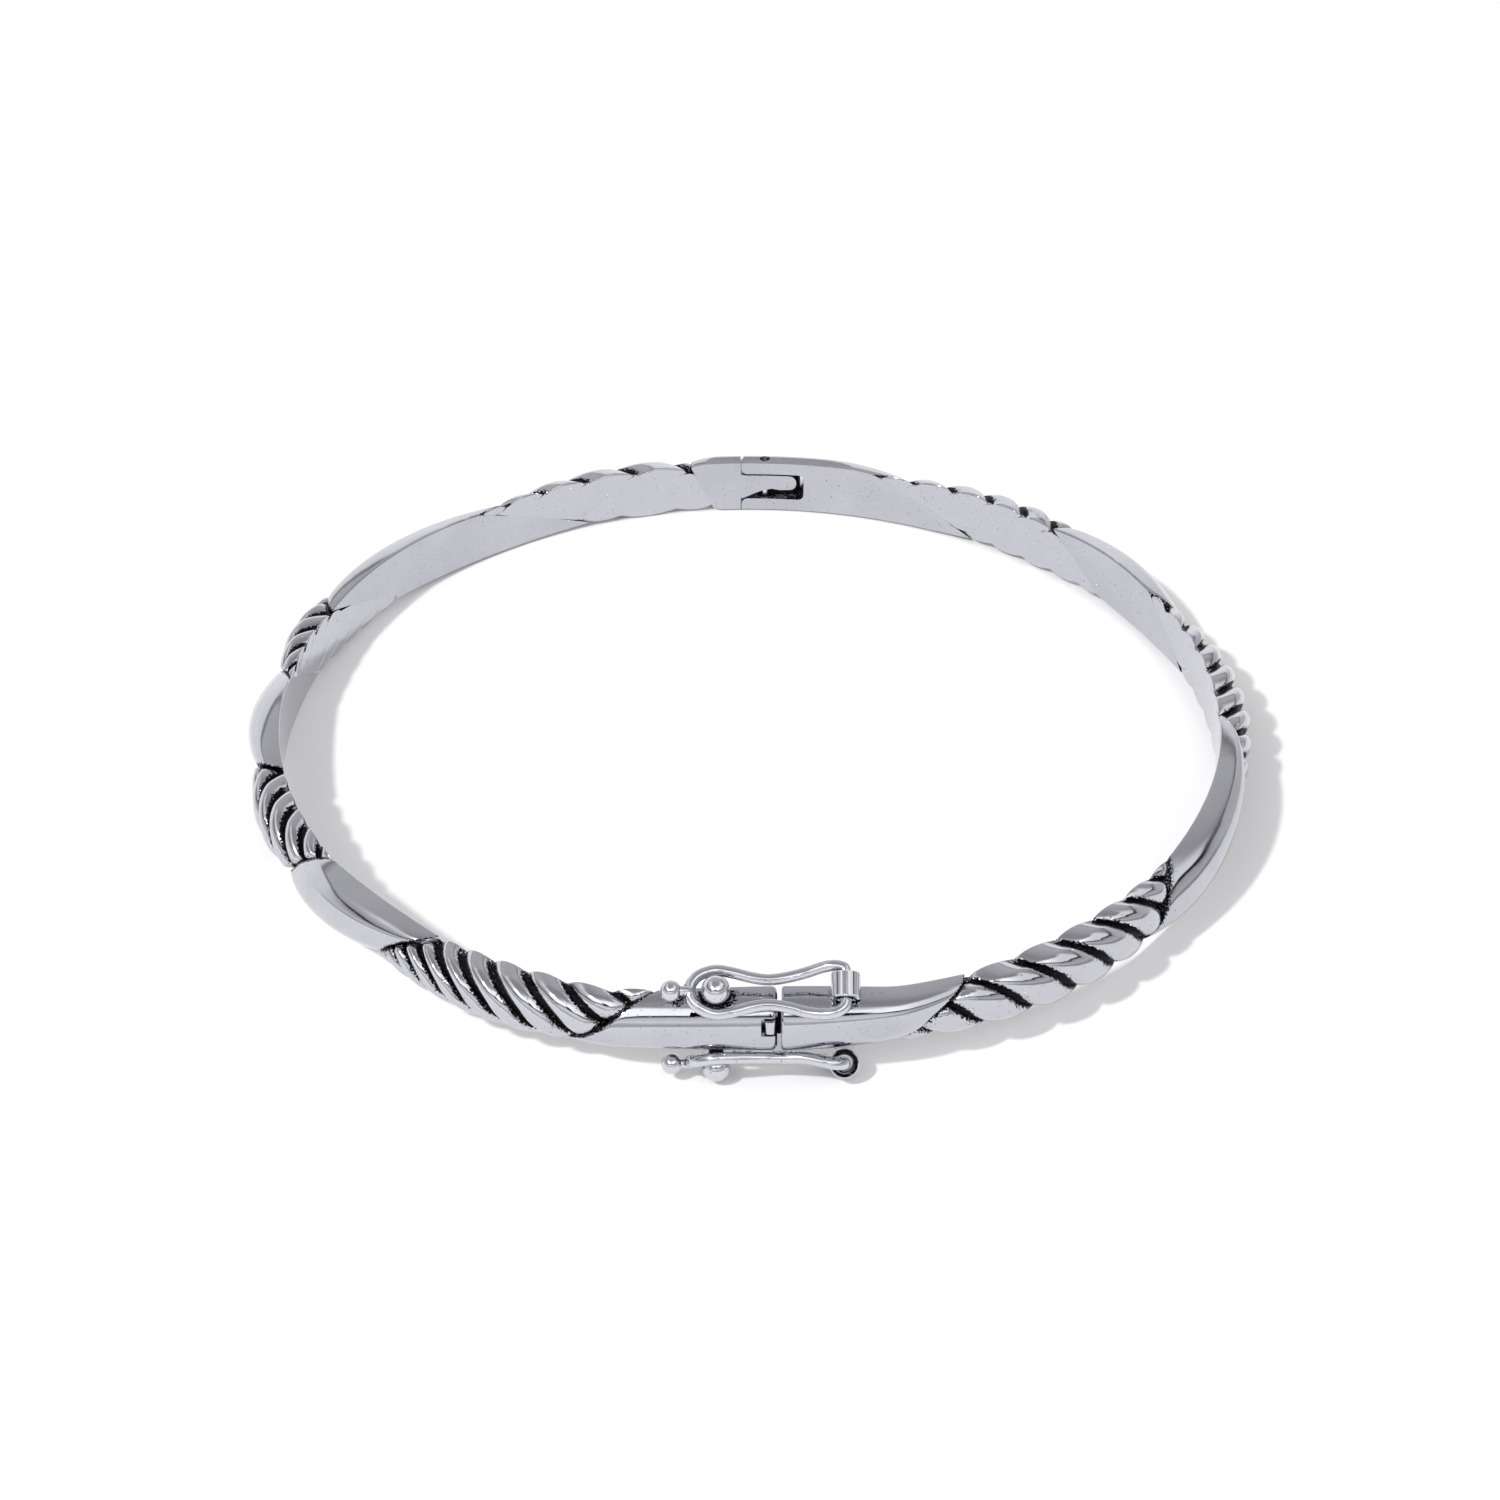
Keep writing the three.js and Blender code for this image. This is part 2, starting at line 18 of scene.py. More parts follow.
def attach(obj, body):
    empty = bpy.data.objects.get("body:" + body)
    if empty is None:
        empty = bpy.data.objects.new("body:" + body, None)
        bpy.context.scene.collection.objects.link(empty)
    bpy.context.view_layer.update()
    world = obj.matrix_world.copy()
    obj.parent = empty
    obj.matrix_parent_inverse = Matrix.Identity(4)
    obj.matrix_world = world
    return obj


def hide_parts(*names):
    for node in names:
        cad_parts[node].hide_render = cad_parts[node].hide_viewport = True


LOG = logging.getLogger("bangle")

MM = 0.001

# A cutter reaches this far past a joint in X and Z, and over one of these stretches of Y.
FAR = 6.0
HINGE_SIDE = (20, 40)
CLASP_SIDE = (-40, -20)

# A vertex this close to a face still takes that face's painted shade.
SKIN = 0.02

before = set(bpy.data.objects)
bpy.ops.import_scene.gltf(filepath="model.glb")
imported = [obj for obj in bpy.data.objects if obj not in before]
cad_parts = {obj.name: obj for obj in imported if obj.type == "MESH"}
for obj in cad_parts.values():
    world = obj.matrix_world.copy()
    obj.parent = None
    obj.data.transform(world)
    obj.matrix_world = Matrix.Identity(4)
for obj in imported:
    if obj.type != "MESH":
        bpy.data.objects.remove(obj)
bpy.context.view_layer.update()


# ---------------------------------------------------------------- small helpers

def lerp(low: float, high: float, share: float) -> float:
    """The value a share of the way from low to high."""
    return low + (high - low) * share


def clamp(value: float, low: float = 0.0, high: float = 1.0) -> float:
    """The value, kept between low and high."""
    return max(low, min(high, value))


def smoothstep(value: float, low: float, high: float) -> float:
    """0 below low, 1 above high and a soft rise in between."""
    share = clamp((value - low) / (high - low))
    return share * share * (3 - 2 * share)


def even(count: int) -> list[float]:
    """Shares from 0 to 1 in a number of equal steps."""
    return [n / count for n in range(count + 1)]


def crowded(count: int) -> list[float]:
    """Shares from 0 to 1 that lie closer together near both ends."""
    return [0.5 - 0.5 * math.cos(math.pi * n / count) for n in range(count + 1)]


def linear_colour(code: str) -> tuple[float, float, float, float]:
    """Turns an sRGB hex colour into the linear colour that a shader takes.

    Args:
        code: Six hex digits, such as "C8C8CE".

    Returns:
        Red, green, blue and an alpha of one.
    """
    channels = []
    for start in (0, 2, 4):
        value = int(code[start:start + 2], 16) / 255
        channels.append(value / 12.92 if value <= 0.04045 else ((value + 0.055) / 1.055) ** 2.4)
    return channels[0], channels[1], channels[2], 1.0


def new_object(name: str, data: bpy.types.ID) -> bpy.types.Object:
    """An object of that name in the scene."""
    made = bpy.data.objects.new(name, data)
    bpy.context.scene.collection.objects.link(made)
    return made


# ---------------------------------------------------------------- materials

class Slot(Enum):
    """The record's material slots."""

    POLISHED = "polished_silver"
    ROPE = "antiqued_rope_silver"
    WIRE = "drawn_silver_wire"
    SHEET = "rolled_silver_sheet"


def add_node(
    tree: bpy.types.NodeTree,
    kind: str,
    settings: dict[str, object] | None = None,
    inputs: dict[str, object] | None = None,
) -> bpy.types.Node:
    """Adds a node with its settings, socket values and links.

    Args:
        tree: The node tree that gets the node.
        kind: The node's Blender type name.
        settings: Attribute values of the node itself.
        inputs: Socket values by name or number; an output socket is linked instead.

    Returns:
        The new node.
    """
    node = tree.nodes.new(kind)
    for key, value in (settings or {}).items():
        setattr(node, key, value)
    for key, value in (inputs or {}).items():
        socket = node.inputs[key]
        if isinstance(value, bpy.types.NodeSocket):
            tree.links.new(value, socket)
        else:
            socket.default_value = value
    return node


def add_math(tree: bpy.types.NodeTree, operation: str, *values: object) -> bpy.types.NodeSocket:
    """A sum or product of numbers and sockets."""
    return add_node(tree, "ShaderNodeMath", {"operation": operation}, dict(enumerate(values))).outputs[0]


def add_mix(
    tree: bpy.types.NodeTree, share: bpy.types.NodeSocket, first: object, second: object,
) -> bpy.types.NodeSocket:
    """A mix of two colours."""
    return add_node(tree, "ShaderNodeMix", {"data_type": "RGBA"}, {
        "Factor": share, 6: first, 7: second,
    }).outputs[2]


def add_rise(
    tree: bpy.types.NodeTree, value: bpy.types.NodeSocket, start: float, end: float,
) -> bpy.types.NodeSocket:
    """A soft rise from 0 at start to 1 at end."""
    return add_node(tree, "ShaderNodeMapRange", {"interpolation_type": "SMOOTHSTEP"}, {
        "Value": value, "From Min": start, "From Max": end,
    }).outputs["Result"]


@dataclass(frozen=True)
class SilverFinish:
    """One finish of sterling silver: its colours, gloss, polishing marks, oxidised black and painted
    shade.
    """

    title: str
    slot: Slot
    colour: str
    tarnish: str
    roughness: float
    ripple_mm: float
    ripple: float
    scratch_mm: float
    scratch: float
    # The black of oxidised hollows and of painted shade.
    oxide_and_shade: str = "19191B"
    oxide_and_shade_roughness: float = 0.5
    grain_mm: float = 0.12

    def build(self) -> bpy.types.Material:
        """Makes the material.

        Returns:
            A metal whose gloss wanders a little, with faint ripples and scratches in its bump, and
            oxidised black and painted shade where the mesh's "oxide_and_shade" attribute is high.
        """
        material = bpy.data.materials.new(self.title)
        material.use_nodes = True
        tree = material.node_tree
        tree.nodes.clear()
        where = add_node(tree, "ShaderNodeTexCoord").outputs["Object"]
        ripple = self._noise(tree, where, self.ripple_mm, 2.0)
        scratch = self._noise(tree, where, self.scratch_mm, 3.0)
        grain = self._noise(tree, where, self.grain_mm, 2.0)
        black = self._oxide_and_shade_share(tree, grain)
        colour = add_mix(tree, ripple, linear_colour(self.colour), linear_colour(self.tarnish))
        colour = add_mix(tree, black, colour, linear_colour(self.oxide_and_shade))
        gloss = add_node(tree, "ShaderNodeMapRange", None, {
            "Value": scratch, "To Min": self.roughness * 0.8, "To Max": self.roughness * 1.25,
        }).outputs["Result"]
        gloss = add_node(tree, "ShaderNodeMix", {"data_type": "FLOAT"}, {
            "Factor": black, 2: gloss, 3: self.oxide_and_shade_roughness,
        }).outputs[0]
        waves = add_node(tree, "ShaderNodeBump", None, {
            "Strength": self.ripple, "Distance": self.ripple_mm * MM * 0.1, "Height": ripple,
        }).outputs["Normal"]
        marks = add_node(tree, "ShaderNodeBump", None, {
            "Strength": self.scratch, "Distance": self.scratch_mm * MM * 0.1, "Height": scratch,
            "Normal": waves,
        }).outputs["Normal"]
        pitted = add_node(tree, "ShaderNodeBump", None, {
            "Strength": 0.8, "Distance": self.grain_mm * MM, "Normal": marks,
            "Height": add_math(tree, "MULTIPLY", black, grain),
        }).outputs["Normal"]
        shader = add_node(tree, "ShaderNodeBsdfPrincipled", None, {
            "Base Color": colour, "Roughness": gloss, "Metallic": 1.0, "Normal": pitted,
        })
        add_node(tree, "ShaderNodeOutputMaterial", None, {"Surface": shader.outputs["BSDF"]})
        return material

    @staticmethod
    def _noise(
        tree: bpy.types.NodeTree, where: bpy.types.NodeSocket, size_mm: float, detail: float,
    ) -> bpy.types.NodeSocket:
        """Noise whose blots are about size_mm across."""
        return add_node(tree, "ShaderNodeTexNoise", None, {
            "Vector": where, "Scale": 1 / (size_mm * MM), "Detail": detail,
        }).outputs["Fac"]

    @staticmethod
    def _oxide_and_shade_share(
        tree: bpy.types.NodeTree, grain: bpy.types.NodeSocket,
    ) -> bpy.types.NodeSocket:
        """How black a spot is: oxidised black and painted shade, with a ragged edge where polish wore it
        off.
        """
        depth = add_node(tree, "ShaderNodeAttribute", {"attribute_name": "oxide_and_shade"}).outputs["Fac"]
        ragged = add_math(tree, "MULTIPLY_ADD", grain, 2.2, -1.1)
        return add_rise(tree, add_math(tree, "ADD", depth, ragged), 0.42, 0.62)


# Sterling silver, cast and polished by hand: a mirror with a cool cast and slow ripples.
POLISHED_SILVER = SilverFinish(
    title="sterling silver, cast and hand polished", slot=Slot.POLISHED,
    colour="C6C6CC", tarnish="B4B4BC", roughness=0.07,
    ripple_mm=3.0, ripple=0.05, scratch_mm=0.25, scratch=0.02,
)
# The same casting, blackened and polished back: bright strands with black in the grooves.
ANTIQUED_SILVER = SilverFinish(
    title="sterling silver, cast, blackened and polished back", slot=Slot.ROPE,
    colour="C6C6CC", tarnish="BEBEC5", roughness=0.09,
    ripple_mm=1.2, ripple=0.08, scratch_mm=0.2, scratch=0.03,
)
# Wire pulled through a plate and burnished: the brightest and smoothest of the finishes.
WIRE_SILVER = SilverFinish(
    title="sterling silver wire, drawn and burnished", slot=Slot.WIRE,
    colour="CECED4", tarnish="CCCCD3", roughness=0.08,
    ripple_mm=0.9, ripple=0.05, scratch_mm=0.15, scratch=0.02,
)
# Hard sheet from the rolling mill: finely grained, so it mirrors less.
SHEET_SILVER = SilverFinish(
    title="sterling silver sheet, rolled and left satin", slot=Slot.SHEET,
    colour="C8C8CE", tarnish="C2C2C9", roughness=0.2,
    ripple_mm=0.8, ripple=0.05, scratch_mm=0.08, scratch=0.15,
)


class Workshop:
    """Makes each material once and turns finished meshes into pieces of the bangle."""

    def __init__(self) -> None:
        """Starts with no material made."""
        self._materials: dict[str, bpy.types.Material] = {}

    def material(self, finish: SilverFinish) -> bpy.types.Material:
        """The material of a finish, made when it is first asked for."""
        if finish.title not in self._materials:
            self._materials[finish.title] = finish.build()
        return self._materials[finish.title]

    def deliver(
        self,
        bm: bmesh.types.BMesh,
        node: str,
        body: str,
        finish: SilverFinish,
        sharp: float = 35,
    ) -> bpy.types.Object:
        """Makes a piece from a mesh that is in place, and hands it to the frame.

        Args:
            bm: The mesh in millimetres; it is freed here.
            node: The CAD node that the piece stands for.
            body: The CAD body that it moves with.
            finish: Its finish.
            sharp: Edges that bend by more degrees than this stay crisp.

        Returns:
            The new object.
        """
        bmesh.ops.remove_doubles(bm, verts=bm.verts, dist=0.0008)
        bmesh.ops.dissolve_degenerate(bm, dist=0.0004, edges=bm.edges)
        bmesh.ops.recalc_face_normals(bm, faces=bm.faces)
        for face in bm.faces:
            face.smooth = True
        for edge in bm.edges:
            edge.smooth = edge.calc_face_angle(0) < math.radians(sharp)
        bmesh.ops.scale(bm, vec=Vector((MM, MM, MM)), verts=bm.verts)
        mesh = bpy.data.meshes.new(f"{node}_silver")
        bm.to_mesh(mesh)
        bm.free()
        mesh.materials.append(self.material(finish))
        piece = new_object(f"{node}_silver", mesh)
        piece.modifiers.new("flats", "WEIGHTED_NORMAL").keep_sharp = True
        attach(piece, body)
        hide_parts(node)
        LOG.info("%s: %d faces on %s", piece.name, len(mesh.polygons), body)
        return piece


# ---------------------------------------------------------------- shaping meshes

# The per-vertex black: oxidised grooves and seams, and painted shade in recesses and under the latches.
OXIDE_AND_SHADE = "oxide_and_shade"
PLACE = "place"

Ring = list[Vector]


def empty_mesh() -> bmesh.types.BMesh:
    """A mesh with nothing in it but the two layers that every piece carries."""
    bm = bmesh.new()
    bm.verts.layers.int.new(PLACE)
    bm.verts.layers.float.new(OXIDE_AND_SHADE)
    return bm


def ring_mesh(count: int) -> bmesh.types.BMesh:
    """A mesh that holds one ring of edges, each vertex numbered by its place in the ring."""
    bm = empty_mesh()
    place = bm.verts.layers.int[PLACE]
    made = bmesh.ops.create_circle(bm, segments=count, radius=1)
    for number, vert in enumerate(made["verts"]):
        vert[place] = number
    return bm


def loft(
    rings: list[Ring], oxide_and_shade: list[list[float]] | None = None, looped: bool = False,
) -> bmesh.types.BMesh:
    """Extrudes a ring of edges from station to station.

    Args:
        rings: The ring's points at each station, in order.
        oxide_and_shade: How black each of those points is; none is black when it is left out.
        looped: Whether the last station meets the first instead of both being closed.

    Returns:
        One closed mesh.
    """
    bm = ring_mesh(len(rings[0]))
    place = bm.verts.layers.int[PLACE]
    black = bm.verts.layers.float[OXIDE_AND_SHADE]
    verts = list(bm.verts)
    edges = list(bm.edges)
    first_edges = edges
    for station, ring in enumerate(rings):
        if station:
            grown = bmesh.ops.extrude_edge_only(bm, edges=edges)["geom"]
            verts = [item for item in grown if isinstance(item, bmesh.types.BMVert)]
            fresh = set(verts)
            edges = [
                item for item in grown
                if isinstance(item, bmesh.types.BMEdge) and fresh.issuperset(item.verts)
            ]
        for vert in verts:
            vert.co = ring[vert[place]]
            vert[black] = oxide_and_shade[station][vert[place]] if oxide_and_shade else 0.0
    if looped:
        bmesh.ops.bridge_loops(bm, edges=first_edges + edges)
    else:
        bmesh.ops.contextual_create(bm, geom=first_edges)
        bmesh.ops.contextual_create(bm, geom=edges)
    return bm


def turned(outline: list[tuple[float, float]], steps: int = 32) -> bmesh.types.BMesh:
    """Spins an outline about Z, as a lathe does.

    Args:
        outline: Radius and height of each point; one that starts and ends on the axis is closed.
        steps: Faces round the axis.

    Returns:
        The turned solid.
    """
    bm = empty_mesh()
    verts = [bm.verts.new((radius, 0, height)) for radius, height in outline]
    edges = [bm.edges.new(pair) for pair in zip(verts, verts[1:])]
    bmesh.ops.spin(
        bm, geom=verts + edges, cent=(0, 0, 0), axis=(0, 0, 1), angle=math.tau, steps=steps,
        use_merge=True,
    )
    bmesh.ops.remove_doubles(bm, verts=bm.verts, dist=0.0005)
    return bm


def arc(
    centre: tuple[float, float], radius: float, start: float, end: float, steps: int,
) -> list[tuple[float, float]]:
    """Points along an arc, both ends included."""
    turns = [math.radians(lerp(start, end, share)) for share in even(steps)]
    return [(centre[0] + radius * math.cos(t), centre[1] + radius * math.sin(t)) for t in turns]


def raised(outline: Iterable[tuple[float, float]], low: float, high: float) -> bmesh.types.BMesh:
    """Extrudes an outline in X and Y from one height to another."""
    bm = empty_mesh()
    face = bm.faces.new([bm.verts.new((x, y, low)) for x, y in outline])
    grown = bmesh.ops.extrude_face_region(bm, geom=[face])["geom"]
    top = [item for item in grown if isinstance(item, bmesh.types.BMVert)]
    bmesh.ops.translate(bm, verts=top, vec=(0, 0, high - low))
    bmesh.ops.recalc_face_normals(bm, faces=bm.faces)
    return bm


def slab(x: tuple[float, float], y: tuple[float, float], z: tuple[float, float]) -> bmesh.types.BMesh:
    """A block between two corners."""
    return raised([(x[0], y[0]), (x[1], y[0]), (x[1], y[1]), (x[0], y[1])], z[0], z[1])


def swing(bm: bmesh.types.BMesh, angle: float, axis: str) -> None:
    """Turns a mesh about an axis through the origin, by an angle in radians."""
    bmesh.ops.rotate(bm, verts=bm.verts, cent=(0, 0, 0), matrix=Matrix.Rotation(angle, 3, axis))


def cut(
    bm: bmesh.types.BMesh, tool: bmesh.types.BMesh, operation: str = "DIFFERENCE",
) -> bmesh.types.BMesh:
    """Cuts, joins or crosses two solids with an exact boolean.

    Args:
        bm: The solid that is worked on; it is freed.
        tool: The other solid; it is freed.
        operation: DIFFERENCE, UNION or INTERSECT.

    Returns:
        The result.
    """
    pair = []
    for solid in (bm, tool):
        bmesh.ops.recalc_face_normals(solid, faces=solid.faces)
        mesh = bpy.data.meshes.new("scratch")
        solid.to_mesh(mesh)
        solid.free()
        pair.append(new_object("scratch", mesh))
    modifier = pair[0].modifiers.new("cut", "BOOLEAN")
    modifier.operation = operation
    modifier.solver = "EXACT"
    modifier.object = pair[1]
    bpy.context.view_layer.update()
    evaluated = pair[0].evaluated_get(bpy.context.evaluated_depsgraph_get())
    result = bmesh.new()
    result.from_mesh(evaluated.to_mesh())
    evaluated.to_mesh_clear()
    for holder in pair:
        mesh = holder.data
        bpy.data.objects.remove(holder)
        bpy.data.meshes.remove(mesh)
    return result


def soften(bm: bmesh.types.BMesh, width: float) -> None:
    """Rounds every crisp edge, as far as a width to each side of it."""
    least_bend = math.radians(40)
    edges = [edge for edge in bm.edges if edge.calc_face_angle(0) > least_bend]
    bmesh.ops.bevel(
        bm, geom=edges, offset=width, segments=2, profile=0.5, affect="EDGES", material=-1,
        clamp_overlap=True,
    )


def blacken(bm: bmesh.types.BMesh, share: Callable[[Vector], float]) -> None:
    """Sets how black each vertex is from its place."""
    black = bm.verts.layers.float.get(OXIDE_AND_SHADE) or bm.verts.layers.float.new(OXIDE_AND_SHADE)
    for vert in bm.verts:
        vert[black] = max(vert[black], share(vert.co))


# ---------------------------------------------------------------- the band

@dataclass(frozen=True)
class BandPath:
    """The inner face's path round the wrist, with one straight stretch at the clasp."""

    radius: float = 29.0
    clasp_inset: float = 1.15
    softness: float = 0.12

    @property
    def clasp_flat(self) -> float:
        """Distance of the straight stretch from the ring's centre."""
        return self.radius - self.clasp_inset

    def point(self, degrees: float) -> Vector:
        """The path's point at an angle."""
        angle = math.radians(degrees)
        flat = self.clasp_flat / max(-math.sin(angle), 0.1)
        low = min(flat, self.radius)
        blend = math.exp((low - flat) / self.softness) + math.exp((low - self.radius) / self.softness)
        reach = low - self.softness * math.log(blend)
        return Vector((reach * math.cos(angle), reach * math.sin(angle), 0))

    def place(self, degrees: float, out: float, up: float) -> Vector:
        """A point out from the path and up from its plane.

        Args:
            degrees: Angle round the ring.
            out: Distance outwards from the inner face.
            up: Height above the middle of the band.

        Returns:
            The point.
        """
        step = 0.1
        along = (self.point(degrees + step) - self.point(degrees - step)).normalized()
        outward = Vector((along.y, -along.x, 0))
        spot = self.point(degrees) + outward * out
        spot.z = up
        return spot


PATH = BandPath()


@dataclass(frozen=True)
class Profile:
    """The band's cross-section at one spot: a flat inner face and a dome."""

    thick: float
    half: float
    fullness: float
    crest: float
    edge: float = 0.14

    def dome(self, down: float) -> Vector:
        """A point of the dome, by its share of the way from top edge to bottom edge."""
        warped = math.pi * down ** (math.log(0.5) / math.log(self.crest))
        high = math.cos(math.pi * down)
        return Vector((
            self.thick * max(math.sin(warped), 0) ** self.fullness,
            self.half * math.copysign(abs(high) ** self.fullness, high),
        ))

    def eased(self, spot: Vector) -> Vector:
        """The spot, pulled in where it lies outside the rounded long edges."""
        beyond = Vector((self.edge - spot.x, abs(spot.y) - (self.half - self.edge)))
        if min(beyond) <= 0 or beyond.length <= self.edge:
            return spot
        beyond *= self.edge / beyond.length
        return Vector((self.edge - beyond.x, math.copysign(self.half - self.edge + beyond.y, spot.y)))


JOINT = Profile(thick=1.48, half=1.62, fullness=0.86, crest=0.5)
LEAF_MIDDLE = Profile(thick=2.15, half=1.95, fullness=0.86, crest=0.5)
ROPE_MIDDLE = Profile(thick=2.2, half=1.9, fullness=0.86, crest=0.5)
CREST_LOW = 0.6
CREST_HIGH = 0.4


def swollen(middle: Profile, share: float, crest: float) -> Profile:
    """The profile a share of the way along a section that is fullest in its middle."""
    swell = math.sin(math.pi * clamp(share)) ** 0.7
    return Profile(
        lerp(JOINT.thick, middle.thick, swell), lerp(JOINT.half, middle.half, swell),
        JOINT.fullness, crest,
    )


FLAT_SHARES = [0.985, 0.96, 0.93, 0.85, 0.7, 0.5, 0.3, 0.15, 0.07, 0.04, 0.015]
SEAM = 0.04
INNER_SEAM = 0.004
RIM_FADE = 0.035


def faceted(profile: Profile, down: float, ridge: float, flatness: float) -> Vector:
    """A point of the dome, with the stretch above a ridge filed towards a flat facet.

    Args:
        profile: The cross-section.
        down: Share of the way down the dome.
        ridge: Where the ridge runs, as such a share.
        flatness: 0 leaves the dome round and 1 makes the facet flat.

    Returns:
        Distance out and height up.
    """
    spot = profile.dome(down)
    corner = profile.dome(0)
    along = (profile.dome(ridge) - corner).normalized()
    foot = corner + along * (spot - corner).dot(along)
    return spot.lerp(foot, flatness * (1 - smoothstep(down, ridge - RIM_FADE, ridge + RIM_FADE)))


@dataclass
class BandSection:
    """A stretch of the band between two slanted seams."""

    node: str
    body: str
    start: float
    end: float
    lean_start: float
    lean_end: float
    dome_steps: int = 48

    def ends(self, down: float, seam: float = SEAM) -> tuple[float, float]:
        """The angles of both seams at a share of the way from top edge to bottom edge."""
        half_seam = math.degrees(seam / PATH.radius) / 2
        low = self.start + (half_seam if self.lean_start else 0)
        high = self.end - (half_seam if self.lean_end else 0)
        return low - self.lean_start * down, high - self.lean_end * down

    def share(self, angle: float, down: float) -> float:
        """How far along the section an angle lies at that height."""
        low, high = self.ends(down)
        return clamp((angle - low) / (high - low))

    def seam_gap(self, angle: float, down: float) -> float:
        """Distance along the band to the nearer seam, in millimetres."""
        low, high = self.ends(down)
        return math.radians(max(min(angle - low, high - angle), 0)) * PATH.radius


@dataclass
class LeafSection(BandSection):
    """A smooth twisted leaf: a dome with a soft ridge that climbs towards the top edge."""

    part: tuple[float, float] = (0.0, 1.0)
    stations: int = 40
    ridge_low: float = 0.24
    ridge_high: float = 0.1
    flatness: float = 0.7
    face_x: float | None = None
    face_round: float = 0.35
    finish: SilverFinish = POLISHED_SILVER

    def profile(self, share: float) -> Profile:
        """The cross-section at a share of the section's length."""
        along = lerp(*self.part, share)
        return swollen(LEAF_MIDDLE, along, lerp(CREST_LOW, CREST_HIGH, along))

    def station(self, share: float) -> tuple[Ring, list[float]]:
        """The ring of points at a share of the section's length, and how black each one is."""
        profile = self.profile(share)
        along = lerp(*self.part, share)
        ridge = lerp(self.ridge_low, self.ridge_high, along)
        ring = []
        oxide_and_shade = []
        for down in crowded(self.dome_steps):
            low, high = self.ends(down)
            spot = profile.eased(faceted(profile, down, ridge, self.flatness))
            angle = lerp(low, high, share)
            spot = self.rounded(angle, spot)
            ring.append(PATH.place(angle, spot.x, spot.y))
            oxide_and_shade.append(self.blackness(angle, down))
        for down in FLAT_SHARES:
            low, high = self.ends(down, INNER_SEAM)
            spot = profile.eased(Vector((0.0, profile.half * (1 - 2 * down))))
            angle = lerp(low, high, share)
            spot.y = math.copysign(abs(self.rounded(angle, spot).y), spot.y)
            ring.append(PATH.place(angle, spot.x, spot.y))
            oxide_and_shade.append(0.0)
        return ring, oxide_and_shade

    def rounded(self, angle: float, spot: Vector) -> Vector:
        """The spot, drawn in where it nears a square end, which rounds that end's corners."""
        if self.face_x is None:
            return spot
        near = clamp(abs(PATH.point(angle).x - self.face_x) / self.face_round)
        drawn = self.face_round * (1 - math.sqrt(1 - (1 - near) ** 2))
        heart = Vector((0.8, 0.0))
        towards = (heart - spot).normalized()
        return spot + towards * min(drawn, (heart - spot).length)

    def blackness(self, angle: float, down: float) -> float:
        """Oxide that stays in the corner along a seam."""
        return 0.75 * (1 - smoothstep(self.seam_gap(angle, down), 0.02, 0.16))

    def mesh(self) -> bmesh.types.BMesh:
        """The section's solid."""
        stations = [self.station(share) for share in even(self.stations)]
        return loft([ring for ring, _ in stations], [oxide_and_shade for _, oxide_and_shade in stations])

    def make(self, workshop: Workshop) -> bpy.types.Object:
        """Builds the piece."""
        return workshop.deliver(self.mesh(), self.node, self.body, self.finish)


